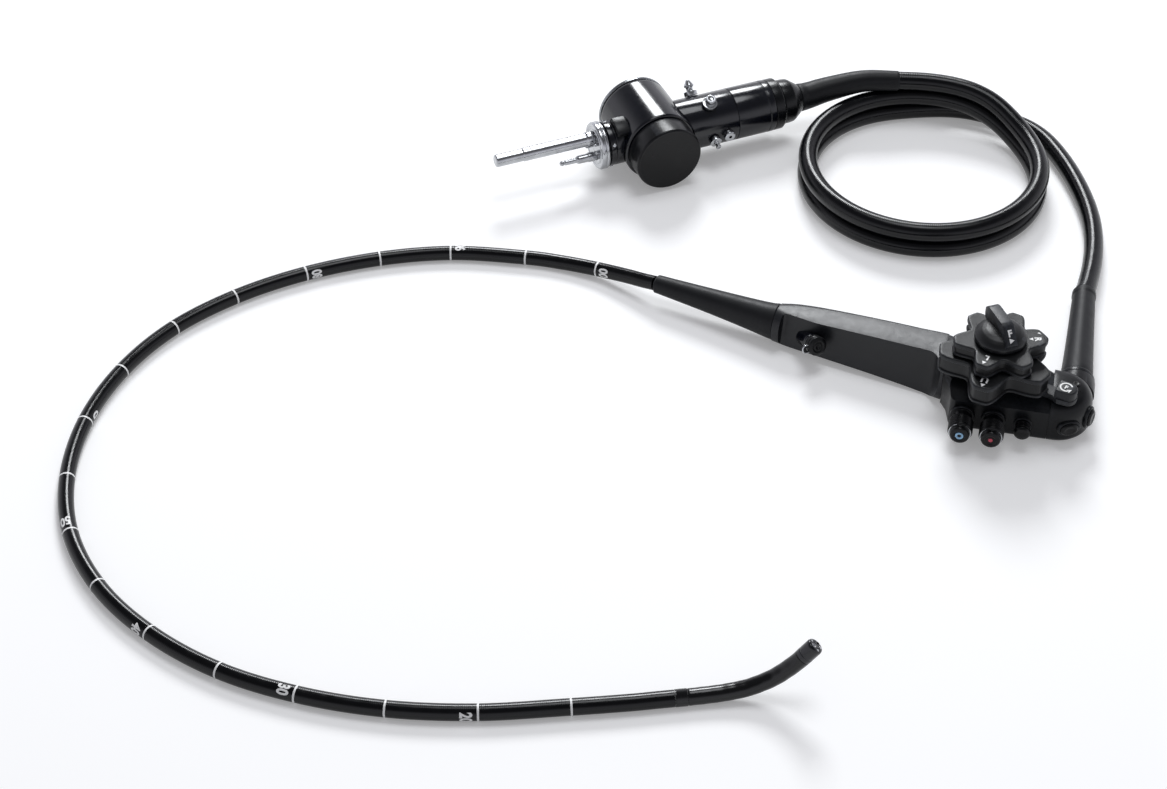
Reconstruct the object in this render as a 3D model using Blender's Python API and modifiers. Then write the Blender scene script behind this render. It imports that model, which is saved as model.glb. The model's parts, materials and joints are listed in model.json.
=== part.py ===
"""Flexible endoscope, as it lies on a table with its connecting cord coiled.

Metres, +Z up. The origin is the foot of the knob axis, on the flat underside of the control
body. +X runs along the grip towards the head's end, +Y towards the side the cord leaves from.
"""

import math

import bmesh
import bpy
from mathutils import Matrix, Vector

# Clearances
GAP = 0.0003
TURN_GAP = 0.0003
TABLE_GAP = 0.0001
CORD_END_GAP = 0.0005
CORD_LEAVE = 0.0100

# Head of the control section, in its own frame turned about the knob axis
HEAD_TURN = math.radians(12.0)
HEAD_FRONT = 0.0205
HEAD_BACK = 0.0205
HEAD_CORNER = 0.0040
HEAD_TOP = 0.032
HEAD_FLOOR = 0.0003
HEAD_ROOF = 0.0026
HEAD_WALL = 0.0026
FRONT_RIDGE = 0.025
FRONT_SLOPE_START = 0.008
GRIP_SEAM = 0.031
COVER_SEAM = 0.036
END_CENTRE = 0.040
END_REACH = 0.0215
BOTTOM_INSET = 0.007
BOTTOM_THICKNESS = 0.0024

# Grip
GRIP_START = 0.147
GRIP_ROUND = 0.025
GRIP_AXIS_Y = 0.0125
GRIP_AXIS_Z = 0.0145
GRIP_SEAM_FRONT = -0.0063
GRIP_SEAM_BACK = 0.0283
GRIP_BORE = 0.0164
GRIP_BORE_Y = 0.0145
GRIP_BORE_Z = 0.0150
RECESS_START = 0.1420
RECESS_END = 0.0390
RECESS_EDGE_Y = 0.0060
RECESS_LEAN = math.radians(13.0)

# Frame and shafts inside the head
CHASSIS_THICKNESS = 0.0025
CHASSIS_GAP = 0.0004
CHASSIS_REACH = 0.0235
CHASSIS_ARM_WIDTH = 0.008
CHASSIS_ARM_REACH = 0.105
POST_DIAMETER = 0.005
SHAFT_WALL = 0.0012
DRUM_RADIUS = 0.0095
DRUM_HEIGHT = 0.006

# Knob stack, heights above the table
LEVER_THICKNESS = 0.0036
UD_KNOB_HEIGHT = 0.0140
RL_KNOB_HEIGHT = 0.0100
KNOB_SPACE = 0.0005
UD_KNOB_RADIUS = 0.0358
UD_SCOOP_DEPTH = 0.0130
UD_LOBES = 5
UD_PHASE = math.radians(54.5)
RL_KNOB_RADIUS = 0.0282
RL_SCOOP_DEPTH = 0.0085
RL_LOBES = 6
RL_PHASE = math.radians(24.0)
LOCK_DISC_RADIUS = 0.0160
LOCK_DISC_RIM = 0.0050
LOCK_DISC_DOME = 0.0040
LOCK_BAR_WIDTH = 0.0070
LOCK_BAR_RISE = 0.0075
LOCK_BAR_TURN = math.radians(-48.0)
LEVER_REACH = 0.053
LEVER_WIDTH = 0.0135
LEVER_TAB_LENGTH = 0.0145
LEVER_TAB_RISE = 0.0060
LEVER_TURN = math.radians(-17.0)
LEVER_HUB_RADIUS = 0.0150

# Valves on the front of the head
VALVE_PLACES = {"air_water": -0.0160, "suction": 0.0030}
VALVE_HEIGHT = 0.0145
VALVE_TRAVEL = 0.0050
VALVE_CAP_RADIUS = 0.0077
VALVE_CAP_LENGTH = 0.0130
VALVE_FACE = 0.0410
VALVE_COLLAR_RADIUS = 0.0060
VALVE_BORE_RADIUS = 0.0033
VALVE_TUBE_RADIUS = 0.0045
VALVE_TUBE_DEPTH = 0.0085
VALVE_STEM_RADIUS = 0.0025
SPRING_WIRE = 0.0005

# Remote switches
SWITCH_TRAVEL = 0.0010
SWITCH_STEM_RADIUS = 0.0022
SWITCH_STEM_DEPTH = 0.0045
SWITCH_STALK = 0.0100
SWITCH_PAD = 0.0030
SWITCH_DISC = 0.0008

# Instrument port on the grip
PORT_BASE = (-0.1260, 0.0055, 0.0145)
PORT_MOUTH = (-0.1125, -0.0064, 0.0203)
PORT_RADIUS = 0.0050
PORT_CAP_RADIUS = 0.0064
PORT_CAP_THICKNESS = 0.0034
PORT_CHANNEL = 0.0014

# Insertion tube, bending section and tip
TUBE_DIAMETER = 0.0098
TUBE_BOOT_END = (-0.2342, 0.0170, 0.0140)
TUBE_BOOT_TIP_RADIUS = 0.0060
BEND_START = (-0.0808, -0.2975)
BEND_HEADING = math.radians(31.5)
BEND_COLLAR_LENGTH = 0.0070
FIRST_PIVOT = 0.0040
PIVOT_PITCH = 0.0076
REST_ANGLES = (2.0, 7.0, 16.0, 17.0, 10.0)
BONE_RADIUS = 0.0042
BONE_BORE = 0.0030
BONE_SIDES = 12
BONE_EDGE = 0.0020
TAB_RADIUS = 0.0013
TAB_THICKNESS = 0.00028
TAB_SPACE = 0.00018
TAB_OUTSIDE = 0.00380
PIN_RADIUS = 0.0006
RUBBER_WALL = 0.00025
TIP_RADIUS = 0.0050
TIP_NECK = 0.0060
TIP_LENGTH = 0.0170
TIP_CHANNEL_RADIUS = 0.0014
TIP_CHANNEL_PLACE = (0.0021, -0.0018)
LENS_DEPTH = 0.0012
OBJECTIVE_RADIUS = 0.0014
OBJECTIVE_PLACE = (-0.0008, 0.0016)
LIGHT_RADIUS = 0.0009
LIGHT_PLACES = {"light_lens_left": (-0.0033, -0.0006), "light_lens_right": (0.0024, 0.0022)}
NOZZLE_PLACE = (-0.0012, -0.0024)
NOZZLE_RADIUS = 0.0008

# Universal cord, its coil and its boots
CORD_DIAMETER = 0.0130
COIL_CENTRE = (-0.1147, 0.2114)
COIL_RADIUS = 0.0810
COIL_LAYERS = 2
CORD_SOCKET_U = 0.0505
CORD_SOCKET_Z = 0.0165
CORD_COLLAR_RADIUS = 0.0118
CORD_COLLAR_LENGTH = 0.0038
CORD_BOOT_LENGTH = 0.0950
CORD_BOOT_RADIUS = 0.0104
CORD_BOOT_TIP_RADIUS = 0.0074
CORD_BOOT_DROP = 0.0070

# Connector, in its own frame with X from the flange to the cord
CONNECTOR_PLACE = (-0.3272, 0.1248)
CONNECTOR_TURN = math.radians(46.4)
BARREL_RADIUS = 0.0158
BARREL_WALL = 0.0022
FLANGE_RADIUS = BARREL_RADIUS + 0.0012
FLANGE_LENGTH = 0.0070
PIN_SEAT_DEPTH = 0.0045
HOUSING_AT = 0.0426
HOUSING_RADIUS = 0.0261
HOUSING_BACK = 0.0300
HOUSING_JOINT = 0.0180
HOUSING_WALL = 0.0030
CAP_RADIUS = HOUSING_RADIUS - 0.0021
CAP_FACE = 0.0343
CONTACT_RADIUS = HOUSING_RADIUS - HOUSING_WALL - 2.0 * GAP
CONTACT_LENGTH = 0.0050
CONTACT_SEAT = 0.0100
SLEEVE_RADIUS = 0.0185
SLEEVE_WALL = 0.0024
SLEEVE_JOINT = 0.1032
SLEEVE_END = 0.1326
NECK_RING_LENGTH = 0.0078
NECK_END = 0.1570
NECK_RADIUS = 0.0102
CONNECTOR_BOOT_TIP_RADIUS = 0.0070
GUIDE_RADIUS = 0.0048
GUIDE_LENGTH = 0.0730
GUIDE_OFFSET = (0.0020, 0.0056)
PIN_AIR_RADIUS = 0.0030
PIN_AIR_LENGTH = 0.0270
PIN_AIR_OFFSET = (-0.0030, -0.0060)
FITTINGS_AT = 0.0820

# Route of the insertion tube from its boot to the bending section, chosen by hand
TUBE_ROUTE = [
    (-0.2570, 0.0208, 0.0100), (-0.2799, 0.0232, 0.0066), (-0.3040, 0.0218, 0.0051),
    (-0.3291, 0.0165, 0.0050), (-0.3760, 0.0006, 0.0050), (-0.4179, -0.0253, 0.0050),
    (-0.4551, -0.0594, 0.0050), (-0.4850, -0.0995, 0.0050), (-0.5059, -0.1453, 0.0050),
    (-0.5133, -0.1944, 0.0050), (-0.5079, -0.2440, 0.0050), (-0.4899, -0.2912, 0.0050),
    (-0.4610, -0.3310, 0.0050), (-0.4214, -0.3610, 0.0050), (-0.3753, -0.3794, 0.0050),
    (-0.3264, -0.3873, 0.0050), (-0.2773, -0.3846, 0.0050), (-0.2289, -0.3738, 0.0050),
    (-0.1822, -0.3555, 0.0050), (-0.1373, -0.3310, 0.0050), (-0.1080, -0.3142, 0.0050),
]

# Route of the cord from the coil's outside to the boot on the control section
CORD_EXIT_ROUTE = [
    (-0.0878, 0.3018, 0.0066), (-0.0710, 0.3005, 0.0066), (-0.0534, 0.2935, 0.0066),
    (-0.0307, 0.2711, 0.0066), (-0.0096, 0.2420, 0.0066), (0.0071, 0.2110, 0.0066),
    (0.0175, 0.1790, 0.0067), (0.0222, 0.1520, 0.0078),
]

# Route of the cord from the connector's boot on to the coil, and where that boot ends
CONNECTOR_BOOT_ROUTE = [(-0.2010, 0.2545, 0.0292), (-0.1800, 0.2682, 0.0332), (-0.1585, 0.2785, 0.0332)]
CORD_LEAD_ROUTE = [(-0.1440, 0.2850, 0.0327), (-0.1290, 0.2902, 0.0324), (-0.1080, 0.2922, 0.0324)]

COLOURS = {
    "tube_black": ((0.012, 0.013, 0.015), 0.35, 0.0),
    "boot_rubber": ((0.045, 0.046, 0.050), 0.75, 0.0),
    "body_grey": ((0.090, 0.094, 0.100), 0.55, 0.0),
    "knob_grey": ((0.110, 0.115, 0.120), 0.60, 0.0),
    "shell_black": ((0.015, 0.016, 0.020), 0.30, 0.0),
    "steel": ((0.620, 0.625, 0.630), 0.22, 1.0),
    "glass": ((0.300, 0.340, 0.380), 0.05, 0.0),
    "button_rubber": ((0.020, 0.020, 0.022), 0.80, 0.0),
}


def clear_scene():
    """Removes every object, so that the script can be run again."""
    for old in list(bpy.data.objects):
        bpy.data.objects.remove(old, do_unlink=True)


def new_collection(name):
    """Makes a collection in the scene."""
    made = bpy.data.collections.new(name)
    bpy.context.scene.collection.children.link(made)
    return made


clear_scene()
PARTS = new_collection("flexible_endoscope")
CUTTERS = new_collection("cutters")


def make_materials():
    """Makes one Principled material for each finish."""
    made = {}
    for name, (colour, roughness, metallic) in COLOURS.items():
        finish = bpy.data.materials.new(name)
        finish.use_nodes = True
        shader = finish.node_tree.nodes["Principled BSDF"]
        shader.inputs["Base Color"].default_value = (*colour, 1.0)
        shader.inputs["Roughness"].default_value = roughness
        shader.inputs["Metallic"].default_value = metallic
        made[name] = finish
    return made


MATERIALS = make_materials()


def add_object(name, mesh, finish=None, parent=None, matrix=None):
    """Adds a mesh as a part with its finish, or as a cutter when it has none."""
    made = bpy.data.objects.new(name, mesh)
    if finish is None:
        CUTTERS.objects.link(made)
        made.hide_render = True
        made.display_type = "WIRE"
    else:
        PARTS.objects.link(made)
        if not mesh.materials:
            mesh.materials.append(MATERIALS[finish])
    if parent is not None:
        made.parent = parent
    if matrix is not None:
        made.matrix_basis = matrix
    return made


def add_frame(name, matrix):
    """Adds an empty that carries the parts of one assembly."""
    made = bpy.data.objects.new(name, None)
    PARTS.objects.link(made)
    made.empty_display_size = 0.02
    made.matrix_basis = matrix
    return made


def mesh_from_bmesh(name, working, smooth_angle=math.radians(35.0)):
    """Turns a bmesh into a mesh with outward faces and smooth rounds."""
    bmesh.ops.recalc_face_normals(working, faces=working.faces)
    mesh = bpy.data.meshes.new(name)
    working.to_mesh(mesh)
    working.free()
    mesh.shade_smooth()
    mesh.set_sharp_from_angle(angle=smooth_angle)
    return mesh


def evaluated_mesh(source):
    """Reads an object's mesh after its modifiers."""
    bpy.context.view_layer.update()
    graph = bpy.context.evaluated_depsgraph_get()
    return bpy.data.meshes.new_from_object(source.evaluated_get(graph))


def frame_along(start, direction, up=(0.0, 0.0, 1.0)):
    """Matrix at a point whose Z runs along a direction and whose Y leans towards up."""
    axis = Vector(direction).normalized()
    side = Vector(up).cross(axis)
    if side.length < 1e-6:
        side = Vector((1.0, 0.0, 0.0))
    side.normalize()
    rise = axis.cross(side)
    turn = Matrix((side, rise, axis)).transposed().to_4x4()
    return Matrix.Translation(Vector(start)) @ turn


def turned_mesh(name, profile, steps, smooth_angle=math.radians(35.0)):
    """Turns a profile of (radius, height) about Z with a Screw modifier."""
    working = bmesh.new()
    points = [working.verts.new((radius, 0.0, height)) for radius, height in profile]
    for first, second in zip(points, points[1:] + points[:1]):
        if max(first.co.x, second.co.x) > 1e-6:
            working.edges.new((first, second))
    outline = bpy.data.meshes.new(name + "_profile")
    working.to_mesh(outline)
    working.free()
    turned = bpy.data.objects.new(name + "_turned", outline)
    CUTTERS.objects.link(turned)
    screw = turned.modifiers.new("turn", "SCREW")
    screw.steps = steps
    screw.render_steps = steps
    screw.use_merge_vertices = True
    screw.merge_threshold = 0.00001
    mesh = evaluated_mesh(turned)
    bpy.data.objects.remove(turned, do_unlink=True)
    mesh.name = name
    mesh.shade_smooth()
    mesh.set_sharp_from_angle(angle=smooth_angle)
    return mesh


def turned_part(name, profile, steps, finish, parent=None, matrix=None):
    """Adds a turned solid. A profile starts at the top and runs down its outer side."""
    return add_object(name, turned_mesh(name, profile, steps), finish, parent, matrix)


def outline_mesh(name, loops, low, high):
    """Extrudes a flat outline, with any inner loops as holes, between two heights."""
    curve = bpy.data.curves.new(name + "_outline", "CURVE")
    curve.dimensions = "2D"
    curve.fill_mode = "BOTH"
    curve.extrude = (high - low) / 2.0
    for loop in loops:
        spline = curve.splines.new("POLY")
        spline.points.add(len(loop) - 1)
        for point, (x, y) in zip(spline.points, loop):
            point.co = (x, y, 0.0, 1.0)
        spline.use_cyclic_u = True
    holder = bpy.data.objects.new(name + "_curve", curve)
    CUTTERS.objects.link(holder)
    mesh = evaluated_mesh(holder)
    bpy.data.objects.remove(holder, do_unlink=True)
    working = bmesh.new()
    working.from_mesh(mesh)
    bmesh.ops.remove_doubles(working, verts=working.verts, dist=0.000005)
    bmesh.ops.translate(working, verts=working.verts, vec=(0.0, 0.0, (high + low) / 2.0))
    bpy.data.meshes.remove(mesh)
    return mesh_from_bmesh(name, working)


def loft_mesh(name, sections, closed=False):
    """Joins rings of equal point counts. A closed loft is a tube wall, else its ends are filled."""
    working = bmesh.new()
    rings = [[working.verts.new(point) for point in section] for section in sections]
    count = len(rings[0])
    following = list(zip(rings, rings[1:]))
    if closed:
        following.append((rings[-1], rings[0]))
    for near, far in following:
        for index in range(count):
            after = (index + 1) % count
            working.faces.new((near[index], near[after], far[after], far[index]))
    if not closed:
        working.faces.new(rings[0])
        working.faces.new(rings[-1])
    return mesh_from_bmesh(name, working)


def box_mesh(name, low, high):
    """Makes a box between two corners."""
    working = bmesh.new()
    bmesh.ops.create_cube(working, size=1.0)
    size = [high[axis] - low[axis] for axis in range(3)]
    middle = [(high[axis] + low[axis]) / 2.0 for axis in range(3)]
    bmesh.ops.scale(working, vec=size, verts=working.verts)
    bmesh.ops.translate(working, vec=middle, verts=working.verts)
    return mesh_from_bmesh(name, working)


def rod_mesh(name, radius, start, end, sides=16):
    """Makes a cylinder along Z between two heights."""
    return turned_mesh(name, [(0.0, end), (radius, end), (radius, start), (0.0, start)], sides)


def cut(part, cutter, operation="DIFFERENCE"):
    """Adds a Boolean modifier with an exact solver."""
    step = part.modifiers.new(operation.lower(), "BOOLEAN")
    step.operation = operation
    step.solver = "EXACT"
    step.object = cutter
    return step


def cutter(name, mesh, parent=None, matrix=None):
    """Adds a cutting solid."""
    return add_object("cut_" + name, mesh, None, parent, matrix)


def joined_mesh(name, base, additions, subtractions=(), common=()):
    """Applies Boolean steps to meshes that share one frame and returns the result."""
    holder = bpy.data.objects.new(name + "_base", base)
    CUTTERS.objects.link(holder)
    helpers = [holder]
    for meshes, operation in ((common, "INTERSECT"), (additions, "UNION"), (subtractions, "DIFFERENCE")):
        for number, mesh in enumerate(meshes):
            helper = bpy.data.objects.new(f"{name}_{operation.lower()}_{number}", mesh)
            CUTTERS.objects.link(helper)
            helpers.append(helper)
            cut(holder, helper, operation)
    result = evaluated_mesh(holder)
    for helper in helpers:
        bpy.data.objects.remove(helper, do_unlink=True)
    result.name = name
    result.shade_smooth()
    result.set_sharp_from_angle(angle=math.radians(35.0))
    return result


def moved_mesh(mesh, matrix):
    """Moves a mesh and returns it."""
    mesh.transform(matrix)
    return mesh


def arc(centre, radius, start, end, count):
    """Points of an arc, angles in degrees."""
    angles = [math.radians(start + (end - start) * step / (count - 1)) for step in range(count)]
    return [(centre[0] + radius * math.cos(turn), centre[1] + radius * math.sin(turn)) for turn in angles]


def inset_outline(outline, distance):
    """Moves each side of a counter-clockwise outline inwards."""
    moved = []
    for index, point in enumerate(outline):
        before = Vector(point) - Vector(outline[index - 1])
        after = Vector(outline[(index + 1) % len(outline)]) - Vector(point)
        first = Vector((-before.y, before.x)).normalized()
        second = Vector((-after.y, after.x)).normalized()
        shift = (first + second) * (distance / (1.0 + first.dot(second)))
        moved.append((point[0] + shift.x, point[1] + shift.y))
    return moved


def pillow_mesh(name, outline_at, levels):
    """Lofts an outline over heights, each with its own inset, for rounded lids and floors."""
    sections = [[(x, y, height) for x, y in outline_at(inset)] for height, inset in levels]
    return loft_mesh(name, sections)


def smooth_route(points, spacing):
    """Evenly spaced points on a smooth curve through a route's own points."""
    route = [Vector(point) for point in points]
    padded = [route[0] * 2.0 - route[1], *route, route[-1] * 2.0 - route[-2]]
    fine = []
    for before, start, end, after in zip(padded, padded[1:], padded[2:], padded[3:]):
        for step in range(24):
            share = step / 24.0
            leave = (end - before) * 0.5
            arrive = (after - start) * 0.5
            cube = share ** 3
            square = share ** 2
            fine.append(start * (2.0 * cube - 3.0 * square + 1.0) + leave * (cube - 2.0 * square + share)
                        + end * (3.0 * square - 2.0 * cube) + arrive * (cube - square))
    fine.append(route[-1])
    total = sum((second - first).length for first, second in zip(fine, fine[1:]))
    count = max(2, round(total / spacing))
    spaced = [fine[0]]
    travelled = 0.0
    target = total / count
    for first, second in zip(fine, fine[1:]):
        step = (second - first).length
        while travelled + step >= target - 1e-9 and len(spaced) < count:
            spaced.append(first.lerp(second, (target - travelled) / step))
            target += total / count
        travelled += step
    spaced.append(fine[-1])
    return spaced


def sweep_rings(centres, radii, sides):
    """Circles square to a path, turned as little as possible from one to the next."""
    side = None
    rings = []
    for index, centre in enumerate(centres):
        before = centres[max(index - 1, 0)]
        after = centres[min(index + 1, len(centres) - 1)]
        heading = (after - before).normalized()
        if side is None:
            side = heading.cross(Vector((0.0, 0.0, 1.0)))
        side = (side - heading * side.dot(heading)).normalized()
        rise = side.cross(heading)
        rings.append([centre + (side * math.cos(turn) + rise * math.sin(turn)) * radii[index]
                      for turn in (math.tau * step / sides for step in range(sides))])
    return rings


def cord_part(name, route, diameter, finish, spacing, resolution):
    """A tube along a smooth route with straight ends, as a poly curve with filled caps."""
    curve = bpy.data.curves.new(name, "CURVE")
    curve.dimensions = "3D"
    curve.bevel_depth = diameter / 2.0
    curve.bevel_resolution = resolution
    curve.use_fill_caps = True
    points = [Vector(route[0]), *smooth_route(route[1:-1], spacing), Vector(route[-1])]
    spline = curve.splines.new("POLY")
    spline.points.add(len(points) - 1)
    for place, point in zip(spline.points, points):
        place.co = (*point, 1.0)
    curve.materials.append(MATERIALS[finish])
    made = bpy.data.objects.new(name, curve)
    PARTS.objects.link(made)
    return made


HEAD = add_frame("control_head", Matrix.Rotation(HEAD_TURN, 4, "Z"))


def end_corners():
    """Corners of the head's rounded end, from the front round to the back."""
    corners = []
    for step in range(13):
        turn = math.radians(-90.0 + 15.0 * step)
        corners.append((END_CENTRE + END_REACH * math.cos(turn), HEAD_FRONT * math.sin(turn)))
    return corners


def cover_outline(inset=0.0):
    """Outline of the end cover with a stretch beyond its seam, moved inwards."""
    start = COVER_SEAM - 0.0140
    return inset_outline([(start, -HEAD_FRONT), *end_corners(), (start, HEAD_BACK + 0.0015)], inset)


def head_outline(inset=0.0):
    """Outline of the whole head in its own frame, counter-clockwise from above, moved inwards."""
    past_seam = GRIP_SEAM + 0.012
    corners = [(-past_seam, -0.0030), (-GRIP_SEAM, -0.0012), (-0.0272, -0.0078), (-0.0240, -HEAD_FRONT),
               *end_corners(), (0.0050, HEAD_BACK + 0.0030), (-GRIP_SEAM, 0.0345), (-past_seam, 0.0370)]
    rounded = 3
    moved = inset_outline(corners, inset)
    corner = Vector(moved[rounded])
    before = (Vector(moved[rounded - 1]) - corner).normalized()
    after = (Vector(moved[rounded + 1]) - corner).normalized()
    half = before.angle(after) / 2.0
    radius = max(HEAD_CORNER - inset, 0.0006)
    centre = corner + (before + after).normalized() * (radius / math.sin(half))
    first = corner + before * (radius / math.tan(half)) - centre
    last = corner + after * (radius / math.tan(half)) - centre
    fillet = [centre + first.lerp(last, step / 3.0).normalized() * radius for step in range(4)]
    return moved[:rounded] + [(point.x, point.y) for point in fillet] + moved[rounded + 1:]


def head_levels():
    """Heights and insets of the head's rounded lower and upper edges."""
    return [(HEAD_FLOOR, 0.0060), (0.0012, 0.0036), (0.0028, 0.0018), (0.0060, 0.0),
            (HEAD_TOP - 0.0030, 0.0), (HEAD_TOP, 0.0024)]


def cover_levels():
    """Heights and insets of the end cover, which is rounder on top."""
    return [(HEAD_FLOOR, 0.0060), (0.0012, 0.0036), (0.0028, 0.0018), (0.0060, 0.0),
            (0.0210, 0.0), (0.0265, 0.0016), (0.0300, 0.0050), (0.0312, 0.0100)]


def cavity_cutters(part, name, roof):
    """Hollows a head casing from below, with a narrower opening for the bottom cover."""
    opening = outline_mesh(name + "_opening", [head_outline(BOTTOM_INSET)], -0.001, 0.006)
    hollow = outline_mesh(name + "_hollow", [head_outline(HEAD_WALL)], 0.0055, roof)
    cut(part, cutter(name + "_opening", opening, HEAD))
    cut(part, cutter(name + "_hollow", hollow, HEAD))


def keep_between(part, name, low_u, high_u):
    """Cuts away what lies outside two planes across the head."""
    far = 0.090
    if low_u is not None:
        mesh = box_mesh(name, (-far, -far, -0.010), (low_u, far, far))
        cut(part, cutter(name + "_low", mesh, HEAD))
    if high_u is not None:
        mesh = box_mesh(name, (high_u, -far, -0.010), (far, far, far))
        cut(part, cutter(name + "_high", mesh, HEAD))


def valve_matrix(place):
    """Frame on a valve's axis at the knob axis line, with Z out of the front of the head."""
    return frame_along((place, 0.0, VALVE_HEIGHT), (0.0, -1.0, 0.0))


def build_head_shell():
    """Main casing of the head, open below and towards the grip."""
    shell = add_object("head_shell", pillow_mesh("head_shell", head_outline, head_levels()), "shell_black", HEAD)
    run = HEAD_FRONT - FRONT_SLOPE_START
    lean = math.atan2(HEAD_TOP - FRONT_RIDGE, run)
    wedge = box_mesh("wedge", (-0.026, -0.040, 0.0), (0.060, 0.0, 0.020))
    slope = Matrix.Translation((0.0, -FRONT_SLOPE_START, HEAD_TOP)) @ Matrix.Rotation(lean, 4, "X")
    cut(shell, cutter("front_slope", wedge, HEAD, slope))
    cavity_cutters(shell, "head", FRONT_RIDGE - HEAD_ROOF)
    upper = outline_mesh("upper", [arc((0.0, 0.004), 0.0125, 0.0, 345.0, 24)], 0.015, HEAD_TOP - HEAD_ROOF)
    cut(shell, cutter("head_upper", upper, HEAD))
    shaft_hole = rod_mesh("shaft_hole", SHAFT_OUTER["ud"] + 0.0005, 0.010, HEAD_TOP + 0.005, 24)
    cut(shell, cutter("shaft_hole", shaft_hole, HEAD))
    for name, place in VALVE_PLACES.items():
        hole = rod_mesh(name, VALVE_TUBE_RADIUS + GAP, 0.010, 0.030, 20)
        cut(shell, cutter(name + "_hole", hole, HEAD, valve_matrix(place)))
    hole = rod_mesh("switch_hole", SWITCH_STEM_RADIUS + GAP, -0.010, 0.008, 12)
    cut(shell, cutter("switch_1_hole", hole, HEAD, switch_frames()["switch_1"]))
    keep_between(shell, "head_shell", -GRIP_SEAM, COVER_SEAM)
    return shell


def ellipse_frame(turn, height):
    """Frame on the rounded end of the head, with Z along the outward normal."""
    angle = math.radians(turn)
    point = (END_CENTRE + END_REACH * math.cos(angle), HEAD_FRONT * math.sin(angle), height)
    normal = (math.cos(angle) / END_REACH, math.sin(angle) / HEAD_FRONT, 0.0)
    return frame_along(point, normal)


def switch_frames():
    """Frames of the four remote switches: origin on the casing, Z pointing out of it."""
    return {
        "switch_1": frame_along((0.0212, -HEAD_FRONT, 0.0135), (0.0, -1.0, 0.0)),
        "switch_2": ellipse_frame(-66.0, 0.0145),
        "switch_3": ellipse_frame(-22.0, 0.0160),
        "switch_4": frame_along((0.0500, 0.0035, 0.0312), (0.0, 0.0, 1.0)),
    }


def build_end_cover():
    """Rounded end casing with the socket of the universal cord."""
    body = pillow_mesh("cover_body", cover_outline, cover_levels())
    socket_start = 0.010
    socket_end = HEAD_BACK + 0.0008
    boss = moved_mesh(rod_mesh("boss", CORD_COLLAR_RADIUS, socket_start, socket_end, 28),
                      frame_along((CORD_SOCKET_U, 0.0, CORD_SOCKET_Z), (0.0, 1.0, 0.0)))
    cover = add_object("end_cover", joined_mesh("end_cover", body, [boss]), "shell_black", HEAD)
    cavity_cutters(cover, "cover", 0.0220)
    for name, frame in switch_frames().items():
        if name == "switch_1":
            continue
        hole = rod_mesh(name, SWITCH_STEM_RADIUS + GAP, -0.012, 0.008, 12)
        cut(cover, cutter(name + "_hole", hole, HEAD, frame))
    keep_between(cover, "end_cover", COVER_SEAM + GAP, None)
    return cover


def build_bottom_cover():
    """Flat plate that closes the head from below and stands on the table."""
    plate = outline_mesh("bottom_cover", [head_outline(BOTTOM_INSET + GAP)], 0.0, BOTTOM_THICKNESS)
    part = add_object("bottom_cover", plate, "shell_black", HEAD)
    keep_between(part, "bottom_cover", -GRIP_SEAM + 0.001, None)
    return part


SHAFT_INNER = {"rl": POST_DIAMETER / 2.0 + TURN_GAP}
SHAFT_OUTER = {"rl": SHAFT_INNER["rl"] + SHAFT_WALL}
SHAFT_INNER["ud"] = SHAFT_OUTER["rl"] + TURN_GAP
SHAFT_OUTER["ud"] = SHAFT_INNER["ud"] + SHAFT_WALL

CHASSIS_LOW = BOTTOM_THICKNESS + CHASSIS_GAP
CHASSIS_TOP = CHASSIS_LOW + CHASSIS_THICKNESS
LEVER_LOW = HEAD_TOP + 0.0004
UD_KNOB_LOW = LEVER_LOW + LEVER_THICKNESS + 0.0010
UD_KNOB_TOP = UD_KNOB_LOW + UD_KNOB_HEIGHT
RL_KNOB_LOW = UD_KNOB_TOP + KNOB_SPACE
RL_KNOB_TOP = RL_KNOB_LOW + RL_KNOB_HEIGHT
LOCK_LOW = RL_KNOB_TOP + KNOB_SPACE


def build_chassis():
    """Frame plate with the fixed post of the knobs and an arm into the grip."""
    plate = outline_mesh("plate", [head_outline(BOTTOM_INSET + CHASSIS_GAP)], CHASSIS_LOW, CHASSIS_TOP)
    window = box_mesh("window", (-CHASSIS_REACH, -0.050, 0.0), (COVER_SEAM - 0.0030, 0.050, 0.010))
    post = rod_mesh("post", POST_DIAMETER / 2.0, CHASSIS_LOW + 0.001, LOCK_LOW + 0.0045, 16)
    back = Matrix.Rotation(-HEAD_TURN, 4, "Z")
    half = CHASSIS_ARM_WIDTH / 2.0
    arm_low = GRIP_BORE_Z - CHASSIS_THICKNESS / 2.0
    arm_high = GRIP_BORE_Z + CHASSIS_THICKNESS / 2.0
    arm_end = -0.0210
    arm = box_mesh("arm", (-CHASSIS_ARM_REACH, GRIP_BORE_Y - half, arm_low),
                   (arm_end, GRIP_BORE_Y + half, arm_high))
    riser = box_mesh("riser", (arm_end - CHASSIS_THICKNESS, GRIP_BORE_Y - half, CHASSIS_LOW + 0.0005),
                     (arm_end, GRIP_BORE_Y + half, arm_high))
    additions = [post, moved_mesh(arm, back), moved_mesh(riser, back)]
    return add_object("chassis", joined_mesh("chassis", plate, additions, [], [window]), "steel", HEAD)


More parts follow.
